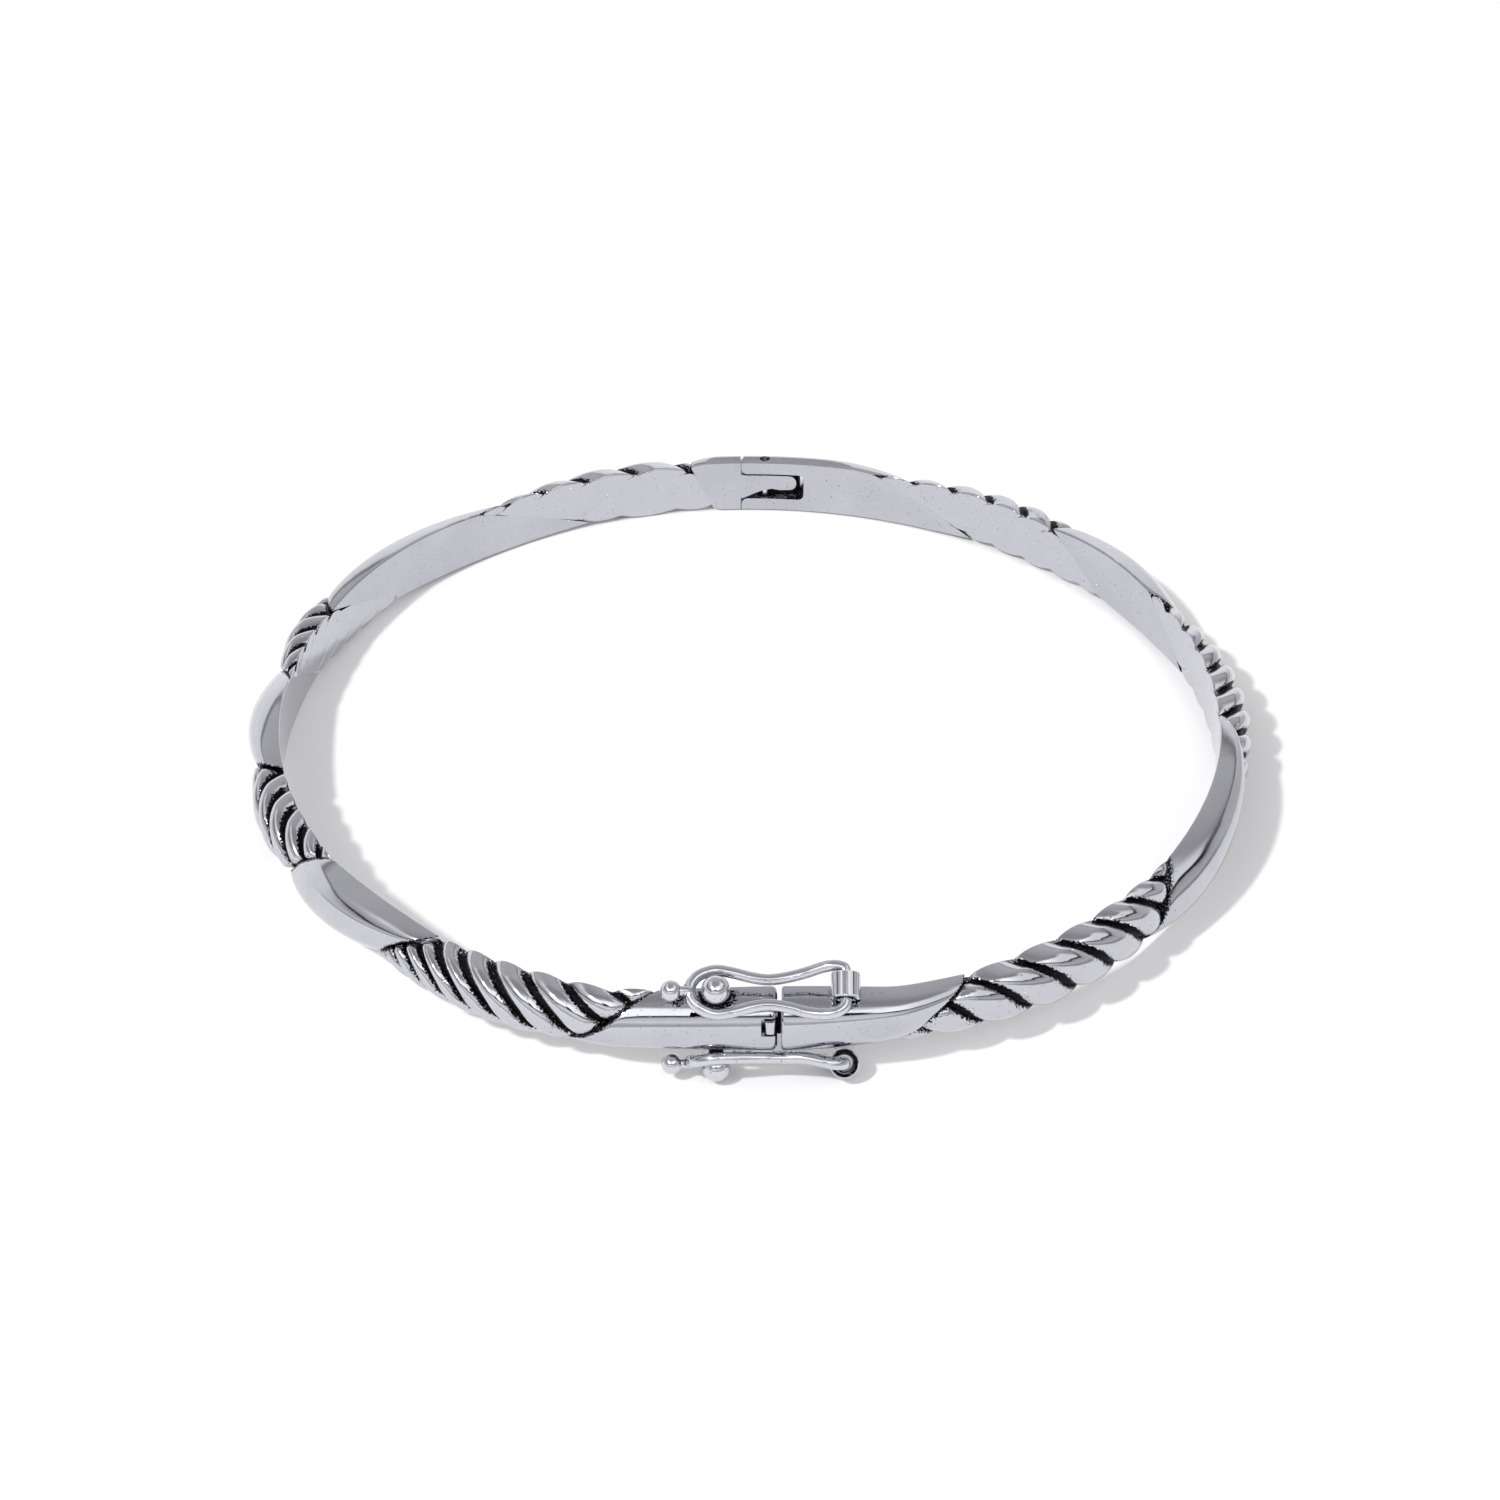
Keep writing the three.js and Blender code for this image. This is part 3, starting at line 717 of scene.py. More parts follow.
@dataclass
class RopeSection(BandSection):
    """Twisted rope: bulging strands that slant across the band, with flat black grooves between."""

    strands: int = 6
    growth: float = 0.0
    twist: float = 10.0
    groove_depth: float = 0.5
    groove_half: float = 0.23
    groove_tail: float = 0.07
    wall: float = 0.035
    shoulder: float = 0.3
    seam_drop: float = 0.24
    seam_reach: float = 0.5
    ridge: float = 0.15
    flatness: float = 0.75
    strand_shares: tuple[float, ...] = (0.0, 0.06, 0.14, 0.26, 0.4, 0.55, 0.7, 0.82, 0.91, 0.96, 1.0)
    finish: SilverFinish = ANTIQUED_SILVER

    def groove_angle(self, number: float) -> float:
        """The angle on the top edge of a groove, which may lie past either end.

        Args:
            number: Which groove, counted from the section's start.

        Returns:
            The angle in degrees; strands widen along the section by the share in growth.
        """
        share = number / self.strands
        within = clamp(share)
        slope = 1 + self.growth * (2 * within - 1)
        spread = within + self.growth * within * (within - 1) + slope * (share - within)
        return lerp(self.start, self.end, spread)

    def groove_width(self, down: float) -> float:
        """Half the width of a groove's floor, which narrows towards the bottom edge."""
        return lerp(self.groove_tail, self.groove_half, smoothstep(1 - down, 0.05, 0.6))

    def groove_number(self, angle: float) -> float:
        """The inverse of groove_angle: how many grooves lie before an angle on the top edge."""
        spread = (angle - self.start) / (self.end - self.start)
        slope = 1 - self.growth
        if spread <= 0:
            return spread / slope * self.strands
        if spread >= 1:
            return (1 + (spread - 1) / (1 + self.growth)) * self.strands
        root = math.sqrt(slope * slope + 4 * self.growth * spread)
        return 2 * spread / (slope + root) * self.strands

    def relief(self, angle: float, down: float) -> tuple[float, float]:
        """How the strands shape the surface at a spot.

        Args:
            angle: Angle round the ring.
            down: Share of the way down the dome.

        Returns:
            How deep the surface lies under a strand's crown, and how black it is.
        """
        top = angle - self.twist * down
        edge = min(down, 1 - down)
        floor = lerp(self.shoulder + 0.04, self.groove_depth, smoothstep(edge, 0.0, 0.1))
        stain = lerp(0.5, 1.0, smoothstep(edge, 0.01, 0.05))
        number = math.floor(self.groove_number(top))
        before = self.groove_angle(number)
        after = self.groove_angle(number + 1)
        to_mm = math.radians(PATH.radius)
        near = min(top - before, after - top) * to_mm
        half = self.groove_width(down)
        if near < half:
            return floor, stain
        if near < half + self.wall:
            return lerp(floor, self.shoulder, (near - half) / self.wall), 0.9 * stain
        rim = half + self.wall
        share = clamp(((top - before) * to_mm - rim) / ((after - before) * to_mm - 2 * rim))
        bulge = 1 - abs(2 * share - 1) ** 2.4
        black = 0.75 * stain * (1 - smoothstep(min(share * 1.4, 1 - share), 0.0, 0.14))
        return self.shoulder * (1 - bulge), black

    def spot(self, angle: float, down: float, inside: bool) -> tuple[Vector, float]:
        """A point of the surface and how black it is.

        Args:
            angle: Angle round the ring, which is held between the two seams.
            down: Share of the way down the dome or the inner face.
            inside: Whether the point lies on the inner face.

        Returns:
            The point and its blackness.
        """
        low, high = self.ends(down, INNER_SEAM if inside else SEAM)
        angle = clamp(angle, low, high)
        share = self.share(angle, down)
        profile = swollen(ROPE_MIDDLE, share, lerp(CREST_HIGH, CREST_LOW, share))
        gap = self.seam_gap(angle, down)
        sunk, black = self.relief(angle, down)
        sunk += self.seam_drop * (1 - smoothstep(gap, 0.0, self.seam_reach))
        rim = Profile(profile.thick, profile.half - sunk, 1, 0.5)
        if inside:
            reach = abs(1 - 2 * down) ** 6
            flat = rim.eased(Vector((0.0, (profile.half - sunk * reach) * (1 - 2 * down))))
            return PATH.place(angle, flat.x, flat.y), 0.0
        dome = faceted(profile, down, self.ridge, self.flatness)
        dome -= dome.normalized() * sunk
        dome.x = max(dome.x, 0.0)
        dome = rim.eased(dome)
        black = max(black, 1 - smoothstep(gap, 0.04, 0.26))
        return PATH.place(angle, dome.x, dome.y), black

    def stations(self, down: float) -> list[float]:
        """The angles, at one height, where the rings lie across the grooves and strands."""
        reach = self.twist + max(self.lean_start, self.lean_end)
        least = (self.end - self.start) / self.strands * (1 - abs(self.growth))
        to_degrees = math.degrees(1 / PATH.radius)
        half = self.groove_width(down) * to_degrees
        rim = half + self.wall * to_degrees
        angles = []
        for number in range(-math.ceil(reach / least) - 1, self.strands + 1):
            here = self.groove_angle(number) + self.twist * down
            after = self.groove_angle(number + 1) + self.twist * down
            angles += [here - half * 0.97, here, here + half * 0.97]
            angles += [lerp(here + rim, after - rim, share) for share in self.strand_shares]
        return angles

    def mesh(self) -> bmesh.types.BMesh:
        """The rope's solid, with its rings laid along the strands."""
        lines = [(down, False) for down in crowded(self.dome_steps)]
        lines += [(down, True) for down in FLAT_SHARES]
        columns = [
            [self.spot(angle, down, inside) for angle in self.stations(down)]
            for down, inside in lines
        ]
        rings = [[point for point, _ in row] for row in zip(*columns)]
        oxide_and_shade = [[black for _, black in row] for row in zip(*columns)]
        return loft(rings, oxide_and_shade)

    def make(self, workshop: Workshop) -> bpy.types.Object:
        """Builds the piece."""
        return workshop.deliver(self.mesh(), self.node, self.body, self.finish, sharp=50)


# ---------------------------------------------------------------- the hinge

@dataclass(frozen=True)
class HingeSizes:
    """The pin, the slot between the ears and the lug that stands in it."""

    split: float = -0.58
    split_gap: float = 0.06
    pin_x: float = 1.02
    pin_out: float = 0.65
    pin_radius: float = 0.3
    pin_clearance: float = 0.05
    slot_length: float = 4.25
    slot_half: float = 0.97
    slot_corner: float = 0.42
    lug_half: float = 0.92
    lug_reach: float = 2.15
    ear_radius: float = 1.5
    knuckle: float = 2.57
    recess: float = 0.8
    flat_half: float = 1.82
    edge: float = 0.06

    @property
    def pin_y(self) -> float:
        """The pin's distance from the ring's centre."""
        return PATH.radius + self.pin_out

    @property
    def hole_radius(self) -> float:
        """The radius of the hole that the pin turns in."""
        return self.pin_radius + self.pin_clearance

    @property
    def slot_end(self) -> float:
        """Where the slot between the ears ends."""
        return self.split + self.slot_length

    def hole(self) -> bmesh.types.BMesh:
        """A cutter for the pin's hole."""
        ring = arc((self.pin_x, self.pin_y), self.hole_radius, 0, 360, 32)[:-1]
        return raised(ring, -FAR, FAR)


HINGE = HingeSizes()
HINGE_PROFILE = Profile(thick=1.85, half=1.87, fullness=0.6, crest=0.5)


@dataclass
class HingeSection(LeafSection):
    """A leaf that grows square towards the hinge, with flat rims above and below."""

    flatness: float = 0.0

    def profile(self, share: float) -> Profile:
        """The cross-section, which turns into the hinge's square one near the split."""
        leaf = super().profile(share)
        from_split = share if self.part[0] > 0 else 1 - share
        squared = min(1, 2.2 * (1 - from_split))
        return Profile(
            lerp(leaf.thick, HINGE_PROFILE.thick, squared),
            lerp(leaf.half, HINGE_PROFILE.half, squared),
            lerp(leaf.fullness, HINGE_PROFILE.fullness, squared),
            lerp(leaf.crest, HINGE_PROFILE.crest, squared),
            0.03,
        )

    def trimmed(self, bm: bmesh.types.BMesh) -> bmesh.types.BMesh:
        """The section with its top and bottom filed flat."""
        for low, high in ((HINGE.flat_half, FAR), (-FAR, -HINGE.flat_half)):
            bm = cut(bm, slab((-FAR, 3 * FAR), HINGE_SIDE, (low, high)))
        return bm


@dataclass
class HingeFork(HingeSection):
    """The right half's end: two ears with a slot between them and a hole for the pin."""

    def slot_cutter(self) -> bmesh.types.BMesh:
        """The slot: round corners at its far end, and ears rounded at its mouth."""
        corner = HINGE.slot_corner
        far = HINGE.slot_end
        half = HINGE.slot_half
        outline = (
            arc((far - corner, half - corner), corner, 0, 90, 6)
            + arc((HINGE.split + corner, half + corner), corner, 270, 180, 6)
            + [(-FAR, half + corner), (-FAR, -half - corner)]
            + arc((HINGE.split + corner, -half - corner), corner, 180, 90, 6)
            + arc((far - corner, corner - half), corner, 270, 360, 6)
        )
        cutter = raised(outline, -HINGE_SIDE[1], -HINGE_SIDE[0])
        swing(cutter, math.pi / 2, "X")
        return cutter

    def ear_cutter(self) -> bmesh.types.BMesh:
        """Rounds the ears' ends about the pin, so that they clear the other half."""
        centre = (HINGE.pin_x, HINGE.pin_y)
        ring = arc(centre, HINGE.ear_radius, 180, 90, 10)
        beyond = HINGE_SIDE[1]
        outline = [(-FAR, HINGE.pin_y)] + ring + [(HINGE.pin_x, beyond), (-FAR, beyond)]
        return raised(outline, -FAR, FAR)

    def mesh(self) -> bmesh.types.BMesh:
        """The fork's solid."""
        bm = self.trimmed(super().mesh())
        bm = cut(bm, self.slot_cutter())
        bm = cut(bm, self.ear_cutter())
        bm = cut(bm, HINGE.hole())
        soften(bm, HINGE.edge)
        blacken(bm, self.shade)
        return bm

    def shade(self, spot: Vector) -> float:
        """Painted shade inside the pin's hole and on the slot's walls."""
        from_pin = math.hypot(spot.x - HINGE.pin_x, spot.y - HINGE.pin_y)
        in_hole = from_pin < HINGE.hole_radius + SKIN
        if in_hole and abs(spot.z) < HINGE.flat_half - HINGE.edge + SKIN / 2:
            return 1.0
        in_slot = abs(spot.z) < HINGE.slot_half + SKIN and spot.x < HINGE.slot_end + SKIN
        deep = math.hypot(spot.x, spot.y) - PATH.radius > HINGE.edge - SKIN
        return 1.0 if in_slot and deep else 0.0


@dataclass
class HingeLug(HingeSection):
    """The left half's end, with the finger that reaches between the ears to the pin."""

    def finger(self) -> bmesh.types.BMesh:
        """The finger: full height at its root, a rounded tip, and a thicker back for the pin."""
        tip = HINGE.pin_x + HINGE.lug_reach
        half = HINGE.lug_half
        split = HINGE.split
        corner = 0.5
        top = half - 0.06
        outline = (
            [(split - 0.6, -half), (split + 0.15, -half), (split + 0.8, -0.6), (split + 1.5, -0.28)]
            + [(split + 2.1, -0.17), (tip - 1.15, -0.26)]
            + arc((tip - corner, corner - 0.22), corner, 270, 360, 6)
            + arc((tip - corner, top - corner), corner, 0, 90, 6)
            + [(split + 0.2, top), (split, half), (split - 0.6, half)]
        )
        front = raised(outline, -PATH.radius - HINGE.recess, -HINGE_SIDE[0])
        swing(front, math.pi / 2, "X")
        knuckle = arc((HINGE.pin_x, HINGE.pin_y), HINGE.knuckle, -22, 35, 10)
        root_y = PATH.radius + HINGE.recess - 0.3
        back = raised(
            [(split - 0.6, root_y), (knuckle[0][0] - 0.3, root_y)] + knuckle + [(split - 0.6, 33)],
            -half, half,
        )
        blank = LeafSection(
            self.node, self.body, 83.5, 91.5, 0, 0, part=(0.72, 0.72), stations=16, flatness=0.0,
        )
        return cut(blank.mesh(), cut(front, back, "UNION"), "INTERSECT")

    def mesh(self) -> bmesh.types.BMesh:
        """The lug's solid."""
        beyond = slab((HINGE.split - HINGE.split_gap, FAR), HINGE_SIDE, (-FAR, FAR))
        bm = cut(self.trimmed(super().mesh()), beyond)
        bm = cut(bm, self.finger(), "UNION")
        bm = cut(bm, HINGE.hole())
        soften(bm, HINGE.edge)
        blacken(bm, self.shade)
        return bm

    def shade(self, spot: Vector) -> float:
        """Painted shade in the recess under the finger."""
        depth = math.hypot(spot.x, spot.y) - PATH.radius
        return 1.0 if depth > HINGE.edge - SKIN / 2 and spot.x > HINGE.split + 0.05 else 0.0


@dataclass
class HingePin:
    """The drawn wire pin, cut a little short of the rims."""

    node: str = "hinge_pin"
    body: str = "right_half"
    recessed: float = 0.05

    def make(self, workshop: Workshop) -> bpy.types.Object:
        """Builds the piece."""
        half = HINGE.flat_half - self.recessed
        crown = 0.08
        radius = HINGE.pin_radius
        outline = [(0, -half)] + [(radius - crown, -half), (radius, crown - half)]
        outline += [(radius, half - crown), (radius - crown, half), (0, half)]
        bm = turned(outline, 24)
        bmesh.ops.translate(bm, verts=bm.verts, vec=(HINGE.pin_x, HINGE.pin_y, 0))
        # Painted shade on the pin's ends, which sit just inside the hole.
        blacken(bm, lambda spot: 0.8 * smoothstep(abs(spot.z), half - crown, half))
        return workshop.deliver(bm, self.node, self.body, WIRE_SILVER)


# ---------------------------------------------------------------- the clasp

@dataclass(frozen=True)
class ClaspSizes:
    """The box in the left half's end and the sprung tongue that slides into it."""

    # The two end faces stand closer together than the CAD's, which are at 1.45 and 1.95.
    left_face: float = 1.52
    right_face: float = 1.77
    depth: float = -3.3
    low: float = 0.42
    high: float = 1.52
    half: float = 1.08
    notch_up: float = 0.46
    notch_half: float = 0.52
    sheet: float = 0.26
    side_gap: float = 0.16
    low_gap: float = 0.14
    high_gap: float = 0.16
    end_gap: float = 0.35
    fold_length: float = 0.33
    tip_gap: float = 0.1
    press_length: float = 0.6
    press_gap: float = 0.1
    press_end_gap: float = 0.2
    press_rise: float = 0.55
    edge: float = 0.06

    @property
    def tongue_half(self) -> float:
        """Half the height of the tongue's strips."""
        return self.half - self.side_gap

    @property
    def tongue_low(self) -> float:
        """The inner strip's distance from the inner face."""
        return self.low + self.low_gap

    @property
    def tongue_high(self) -> float:
        """The outer strip's outer face."""
        return self.high - self.high_gap

    @property
    def fold_x(self) -> float:
        """Where the strip folds back on itself."""
        return self.depth + self.end_gap

    @property
    def tip_x(self) -> float:
        """The free end of the outer strip."""
        return self.left_face - self.tip_gap

    @property
    def press_x(self) -> float:
        """The near side of the thumb press."""
        return self.tip_x - self.press_length


CLASP = ClaspSizes()


def clasp_y(out: float) -> float:
    """The Y of a spot some way out from the clasp's straight inner face, or the way out of a Y."""
    return -PATH.clasp_flat - out


@dataclass
class ClaspBox(LeafSection):
    """The left half's end: hollowed as a box, with a notch that the thumb press shows through."""

    def mesh(self) -> bmesh.types.BMesh:
        """The box's solid."""
        bm = cut(super().mesh(), slab((CLASP.left_face, FAR), CLASP_SIDE, (-FAR, FAR)))
        bm = cut(bm, slab(
            (CLASP.depth, FAR), (clasp_y(CLASP.high), clasp_y(CLASP.low)), (-CLASP.half, CLASP.half),
        ))
        bm = cut(bm, slab(
            (CLASP.press_x - CLASP.press_end_gap, FAR), (CLASP_SIDE[0], clasp_y(CLASP.low)),
            (CLASP.notch_up - CLASP.notch_half, CLASP.notch_up + CLASP.notch_half),
        ))
        soften(bm, CLASP.edge)
        blacken(bm, self.shade)
        return bm

    def shade(self, spot: Vector) -> float:
        """Painted shade inside the box, round the balls' feet and under the beads."""
        depth = clasp_y(spot.y)
        inside = CLASP.low - SKIN < depth < CLASP.high + SKIN and abs(spot.z) < CLASP.half + SKIN
        if CLASP.depth - SKIN < spot.x < CLASP.left_face - CLASP.edge and inside:
            return 0.9
        return painted_foot_shade(spot)


@dataclass
class ClaspEnd(LeafSection):
    """The right half's end: cut square, with the tongue soldered into it."""

    def mesh(self) -> bmesh.types.BMesh:
        """The end's solid."""
        bm = cut(super().mesh(), slab((-FAR, CLASP.right_face), CLASP_SIDE, (-FAR, FAR)))
        soften(bm, CLASP.edge)
        blacken(bm, self.shade)
        return bm

    def shade(self, spot: Vector) -> float:
        """Painted shade on the end face and round the tubes' feet."""
        face = 0.8 * (1 - smoothstep(spot.x, CLASP.right_face, CLASP.right_face + 0.05))
        return max(face, painted_foot_shade(spot))


@dataclass
class Tongue:
    """The folded strip of hard sheet that snaps into the box."""

    fold: float = 0.2
    lip: float = 0.28
    edge: float = 0.05

    def make_fixed(self, workshop: Workshop) -> bpy.types.Object:
        """Builds the inner strip and its fold."""
        low, high = CLASP.tongue_low, CLASP.tongue_high
        end = CLASP.right_face - 0.02
        fold_x = CLASP.fold_x
        around = arc((fold_x + self.fold, -low - self.fold), self.fold, 90, 180, 5)
        over = arc((fold_x + self.fold, self.fold - high), self.fold, 180, 270, 5)
        outline = [(end, -low)] + around + over
        outline += [(fold_x + self.lip, -high), (fold_x + self.lip, -low - CLASP.sheet)]
        outline += [(end, -low - CLASP.sheet)]
        spots = [(x, y - PATH.clasp_flat) for x, y in outline]
        bm = raised(spots, -CLASP.tongue_half, CLASP.tongue_half)
        soften(bm, self.edge)
        blacken(bm, self.shade)
        return workshop.deliver(bm, "tongue_leaf", "right_half", SHEET_SILVER)

    def shade(self, spot: Vector) -> float:
        """Painted shade between the folded layers, which shows as the dark line at the joint."""
        depth = clasp_y(spot.y)
        between = depth > CLASP.tongue_low + CLASP.sheet - 0.08
        past_fold = spot.x > CLASP.fold_x + self.lip - 0.08
        return 0.9 if between and past_fold and depth < CLASP.tongue_high - 0.1 else 0.0

    def make_spring(self, workshop: Workshop) -> bpy.types.Object:
        """Builds the outer strip with its thumb press."""
        outer = clasp_y(CLASP.tongue_high)
        inner = clasp_y(CLASP.tongue_high - CLASP.sheet)
        half = CLASP.tongue_half
        press_half = CLASP.notch_half - CLASP.press_gap
        strip = slab((CLASP.fold_x + CLASP.fold_length, CLASP.tip_x), (outer, inner), (-half, half))
        top = clasp_y(CLASP.high + CLASP.press_rise)
        corner = 0.2
        round_end = arc((CLASP.tip_x - corner, top + corner), corner, 0, -90, 5)
        round_back = arc((CLASP.press_x + corner, top + corner), corner, -90, -180, 5)
        middle = clasp_y(CLASP.tongue_high - CLASP.sheet / 2)
        outline = [(CLASP.tip_x, middle)] + round_end + round_back + [(CLASP.press_x, middle)]
        press = raised(outline, CLASP.notch_up - press_half, CLASP.notch_up + press_half)
        bm = cut(strip, press, "UNION")
        soften(bm, self.edge)
        # Painted shade on the strip's inner face, which faces into the box.
        blacken(bm, lambda spot: 0.8 if spot.y > inner - 0.08 else 0.0)
        return workshop.deliver(bm, "tongue_spring", "tongue_spring", SHEET_SILVER)


# ---------------------------------------------------------------- the safety latches

@dataclass(frozen=True)
class LatchSizes:
    """A figure-eight latch, in a frame that leans over the band's shoulder."""

    tilt: float = 37.0
    out: float = 1.15
    up: float = 2.34
    wire: float = 0.33
    pivot_x: float = 5.3
    pivot_rise: float = 0.35
    tip_x: float = -4.4
    tip_rise: float = 0.36
    tip_radius: float = 0.6
    neck: float = 0.27
    tube_radius: float = 0.84
    tube_bore: float = 0.5
    tube_inner: float = -1.0
    tube_outer: float = 0.45
    catch_x: float = -1.9
    catch_rise: float = 0.55
    catch_radius: float = 0.82
    post_radius: float = 0.42

    def frame(self, side: int) -> Matrix:
        """The latch's frame: X along the band, Y outwards across the shoulder, Z away from it.

        Args:
            side: 1 for the upper latch and -1 for the lower one.

        Returns:
            The frame as a matrix.
        """
        lean = math.radians(self.tilt)
        across = Vector((0, -math.cos(lean), -side * math.sin(lean)))
        away = Vector((0, -math.sin(lean), side * math.cos(lean)))
        basis = Matrix((Vector((1, 0, 0)), across, away)).transposed().to_4x4()
        return Matrix.Translation((0, clasp_y(self.out), side * self.up)) @ basis


LATCH = LatchSizes()


def painted_foot_shade(spot: Vector) -> float:
    """Painted shade on the band round the foot of a ball, a tube or a bead.

    Args:
        spot: A place on the band.

    Returns:
        The painted shade there, from 0 to 1.
    """
    inner_skin = 0.3
    if clasp_y(spot.y) < inner_skin:
        return 0.0
    local = LATCH.frame(1 if spot.z > 0 else -1).inverted() @ spot
    ball = math.hypot(local.x - LATCH.catch_x, local.y)
    tube = math.hypot(max(abs(local.x - LATCH.pivot_x) - 0.35, 0), max(abs(local.y + 0.25) - 0.5, 0))
    bead = math.hypot(local.x - LATCH.tip_x - 0.3, local.y - 0.1)
    near_ball = 1 - smoothstep(ball, 0.75, 1.45)
    near_tube = 1 - smoothstep(tube, 0.2, 0.75)
    near_bead = 1 - smoothstep(bead, 0.2, 0.9)
    return 0.85 * max(near_ball, near_tube, 0.8 * near_bead)


# Half of the wire loop, from the ball end to the tube: place along the band and half width.
LOOP_SIDE = [
    (-3.38, 0.0), (-3.2, 0.55), (-2.75, 0.98), (-1.9, 1.25), (-0.9, 1.1), (0.1, 0.84),
    (1.05, 0.72), (2.1, 0.86), (3.1, 1.12), (4.0, 1.28), (4.65, 1.24),
]
LOOP_END = [(5.12, 1.0), (LATCH.pivot_x, 0.7), (LATCH.pivot_x, 0.3)]
LOOP_BACK = [(LATCH.pivot_x, -0.4), (LATCH.pivot_x, -1.16), (5.1, -1.38), (4.6, -1.46), (4.0, -1.38)]


class Side(Enum):
    """Which shoulder of the band a latch lies on."""

    UPPER = 1
    LOWER = -1

    @property
    def label(self) -> str:
        """The word that node and body names start with."""
        return self.name.lower()


def loop_height(x: float) -> float:
    """How far the wire stands off the shoulder at a place along the band."""
    to_tip = smoothstep(-x, 1.6, 3.6)
    to_pivot = smoothstep(x, 3.0, 5.1)
    return 0.24 * to_tip + LATCH.pivot_rise * to_pivot


def smooth_loop(points: list[Vector], steps: int) -> list[Vector]:
    """A closed smooth curve through points.

    Args:
        points: The points, in order.
        steps: New points between each two.

    Returns:
        The curve's points.
    """
    count = len(points)
    curve = []
    for number, here in enumerate(points):
        before, after, beyond = (points[(number + n) % count] for n in (-1, 1, 2))
        for share in even(steps)[:-1]:
            rest = 1 - share
            pull = here + (after - before) / 6
            push = after - (beyond - here) / 6
            curve.append(
                here * rest ** 3 + pull * (3 * rest ** 2 * share)
                + push * (3 * rest * share ** 2) + after * share ** 3
            )
    return curve


@dataclass
class LatchPart:
    """A piece that belongs to the latch on one shoulder and is drawn in that latch's frame."""

    side: Side

    def finish(
        self, workshop: Workshop, bm: bmesh.types.BMesh, kind: str, body: str | None = None,
    ) -> bpy.types.Object:
        """Moves a mesh from the latch's frame into place and delivers it.

        Args:
            workshop: Makes the piece.
            bm: The mesh in the latch's frame; it is freed.
            kind: What the node's name ends with.
            body: The body that it moves with; the latch's own when left out.

        Returns:
            The new object.
        """
        bmesh.ops.transform(bm, matrix=LATCH.frame(self.side.value), verts=bm.verts)
        name = f"{self.side.label}_{kind}"
        return workshop.deliver(bm, name, body or name, WIRE_SILVER)


@dataclass
class Latch(LatchPart):
    """The bent wire loop with a bead at its free end."""

    wire_sides: int = 16

    def wire(self) -> bmesh.types.BMesh:
        """The loop of wire."""
        back = [(x, -y) for x, y in reversed(LOOP_SIDE[1:-2])]
        spots = LOOP_SIDE + LOOP_END + LOOP_BACK + back
        points = [Vector((x, y, loop_height(x))) for x, y in spots]
        curve = smooth_loop(points, 6)
        rings = []
        for number, here in enumerate(curve):
            along = (curve[(number + 1) % len(curve)] - curve[number - 1]).normalized()
            beside = along.cross(Vector((0, 0, 1))).normalized()
            above = beside.cross(along)
            rings.append([
                here + (beside * math.cos(turn) + above * math.sin(turn)) * LATCH.wire
                for turn in (math.tau * n / self.wire_sides for n in range(self.wire_sides))
            ])
        return loft(rings, looped=True)

    def bead(self) -> bmesh.types.BMesh:
        """The bead that a finger nail lifts, on its short neck."""
        length = -3.3 - LATCH.tip_x
        bead = arc((0, 0), LATCH.tip_radius, -90, 62, 18)
        collar = arc((0.42, length - 0.12), 0.12, 180, 90, 3)
        outline = [(max(radius, 0.0), height) for radius, height in bead]
        outline += [(LATCH.neck, 0.62)] + [(LATCH.neck, length - 0.1)]
        outline += [(radius, height + 0.06) for radius, height in collar]
        outline += [(0.0, length + 0.06)]
        bm = turned(outline, 28)
        swing(bm, math.pi / 2, "Y")
        bmesh.ops.translate(bm, verts=bm.verts, vec=(LATCH.tip_x, 0, LATCH.tip_rise))
        return bm

    def make(self, workshop: Workshop) -> bpy.types.Object:
        """Builds the piece."""
        bm = cut(self.wire(), self.bead(), "UNION")
        blacken(bm, self.shade)
        return self.finish(workshop, bm, "latch")

    def shade(self, spot: Vector) -> float:
        """Darkening at the bead's neck, and painted shade along the wire's underside."""
        neck = 0.6 * (1 - smoothstep(abs(spot.x + 3.62), 0.0, 0.2))
        if spot.x < -3.5:
            return neck
        # Painted shade on the wire's underside, which faces the band.
        under = 0.4 * (1 - smoothstep(spot.z - loop_height(spot.x), -0.28, -0.1))
        return max(neck, under)


@dataclass
class LatchTube(LatchPart):
    """The short tube that a latch turns in, soldered to the right half."""

    foot_half: float = 0.45

    def make(self, workshop: Workshop) -> bpy.types.Object:
        """Builds the piece."""
        outer, bore = LATCH.tube_radius, LATCH.tube_bore
        low, high = LATCH.tube_inner, LATCH.tube_outer
        rim = 0.07
        outline = [
            (bore, low + rim), (bore + rim, low), (outer - rim, low), (outer, low + rim),
            (outer, high - rim), (outer - rim, high), (bore + rim, high), (bore, high - rim),
            (bore, low + rim),
        ]
        tube = turned(outline, 48)
        swing(tube, -math.pi / 2, "X")
        bmesh.ops.translate(tube, verts=tube.verts, vec=(LATCH.pivot_x, 0, LATCH.pivot_rise))
        blacken(tube, self.shade)
        foot = slab(
            (LATCH.pivot_x - self.foot_half, LATCH.pivot_x + self.foot_half),
            (low + 0.12, high - 0.12), (-1.5, LATCH.pivot_rise - bore - 0.12),
        )
        spread = [vert for vert in foot.verts if vert.co.z < -1]
        bmesh.ops.scale(
            foot, vec=(1.7, 1.25, 1), verts=spread,
            space=Matrix.Translation((-LATCH.pivot_x, 0, 0)),
        )
        return self.finish(workshop, cut(tube, foot, "UNION"), "latch_tube", "right_half")

    def shade(self, spot: Vector) -> float:
        """Painted shade inside the bore."""
        from_axis = math.hypot(spot.x - LATCH.pivot_x, spot.z - LATCH.pivot_rise)
        return 0.85 if from_axis < LATCH.tube_bore + SKIN else 0.0


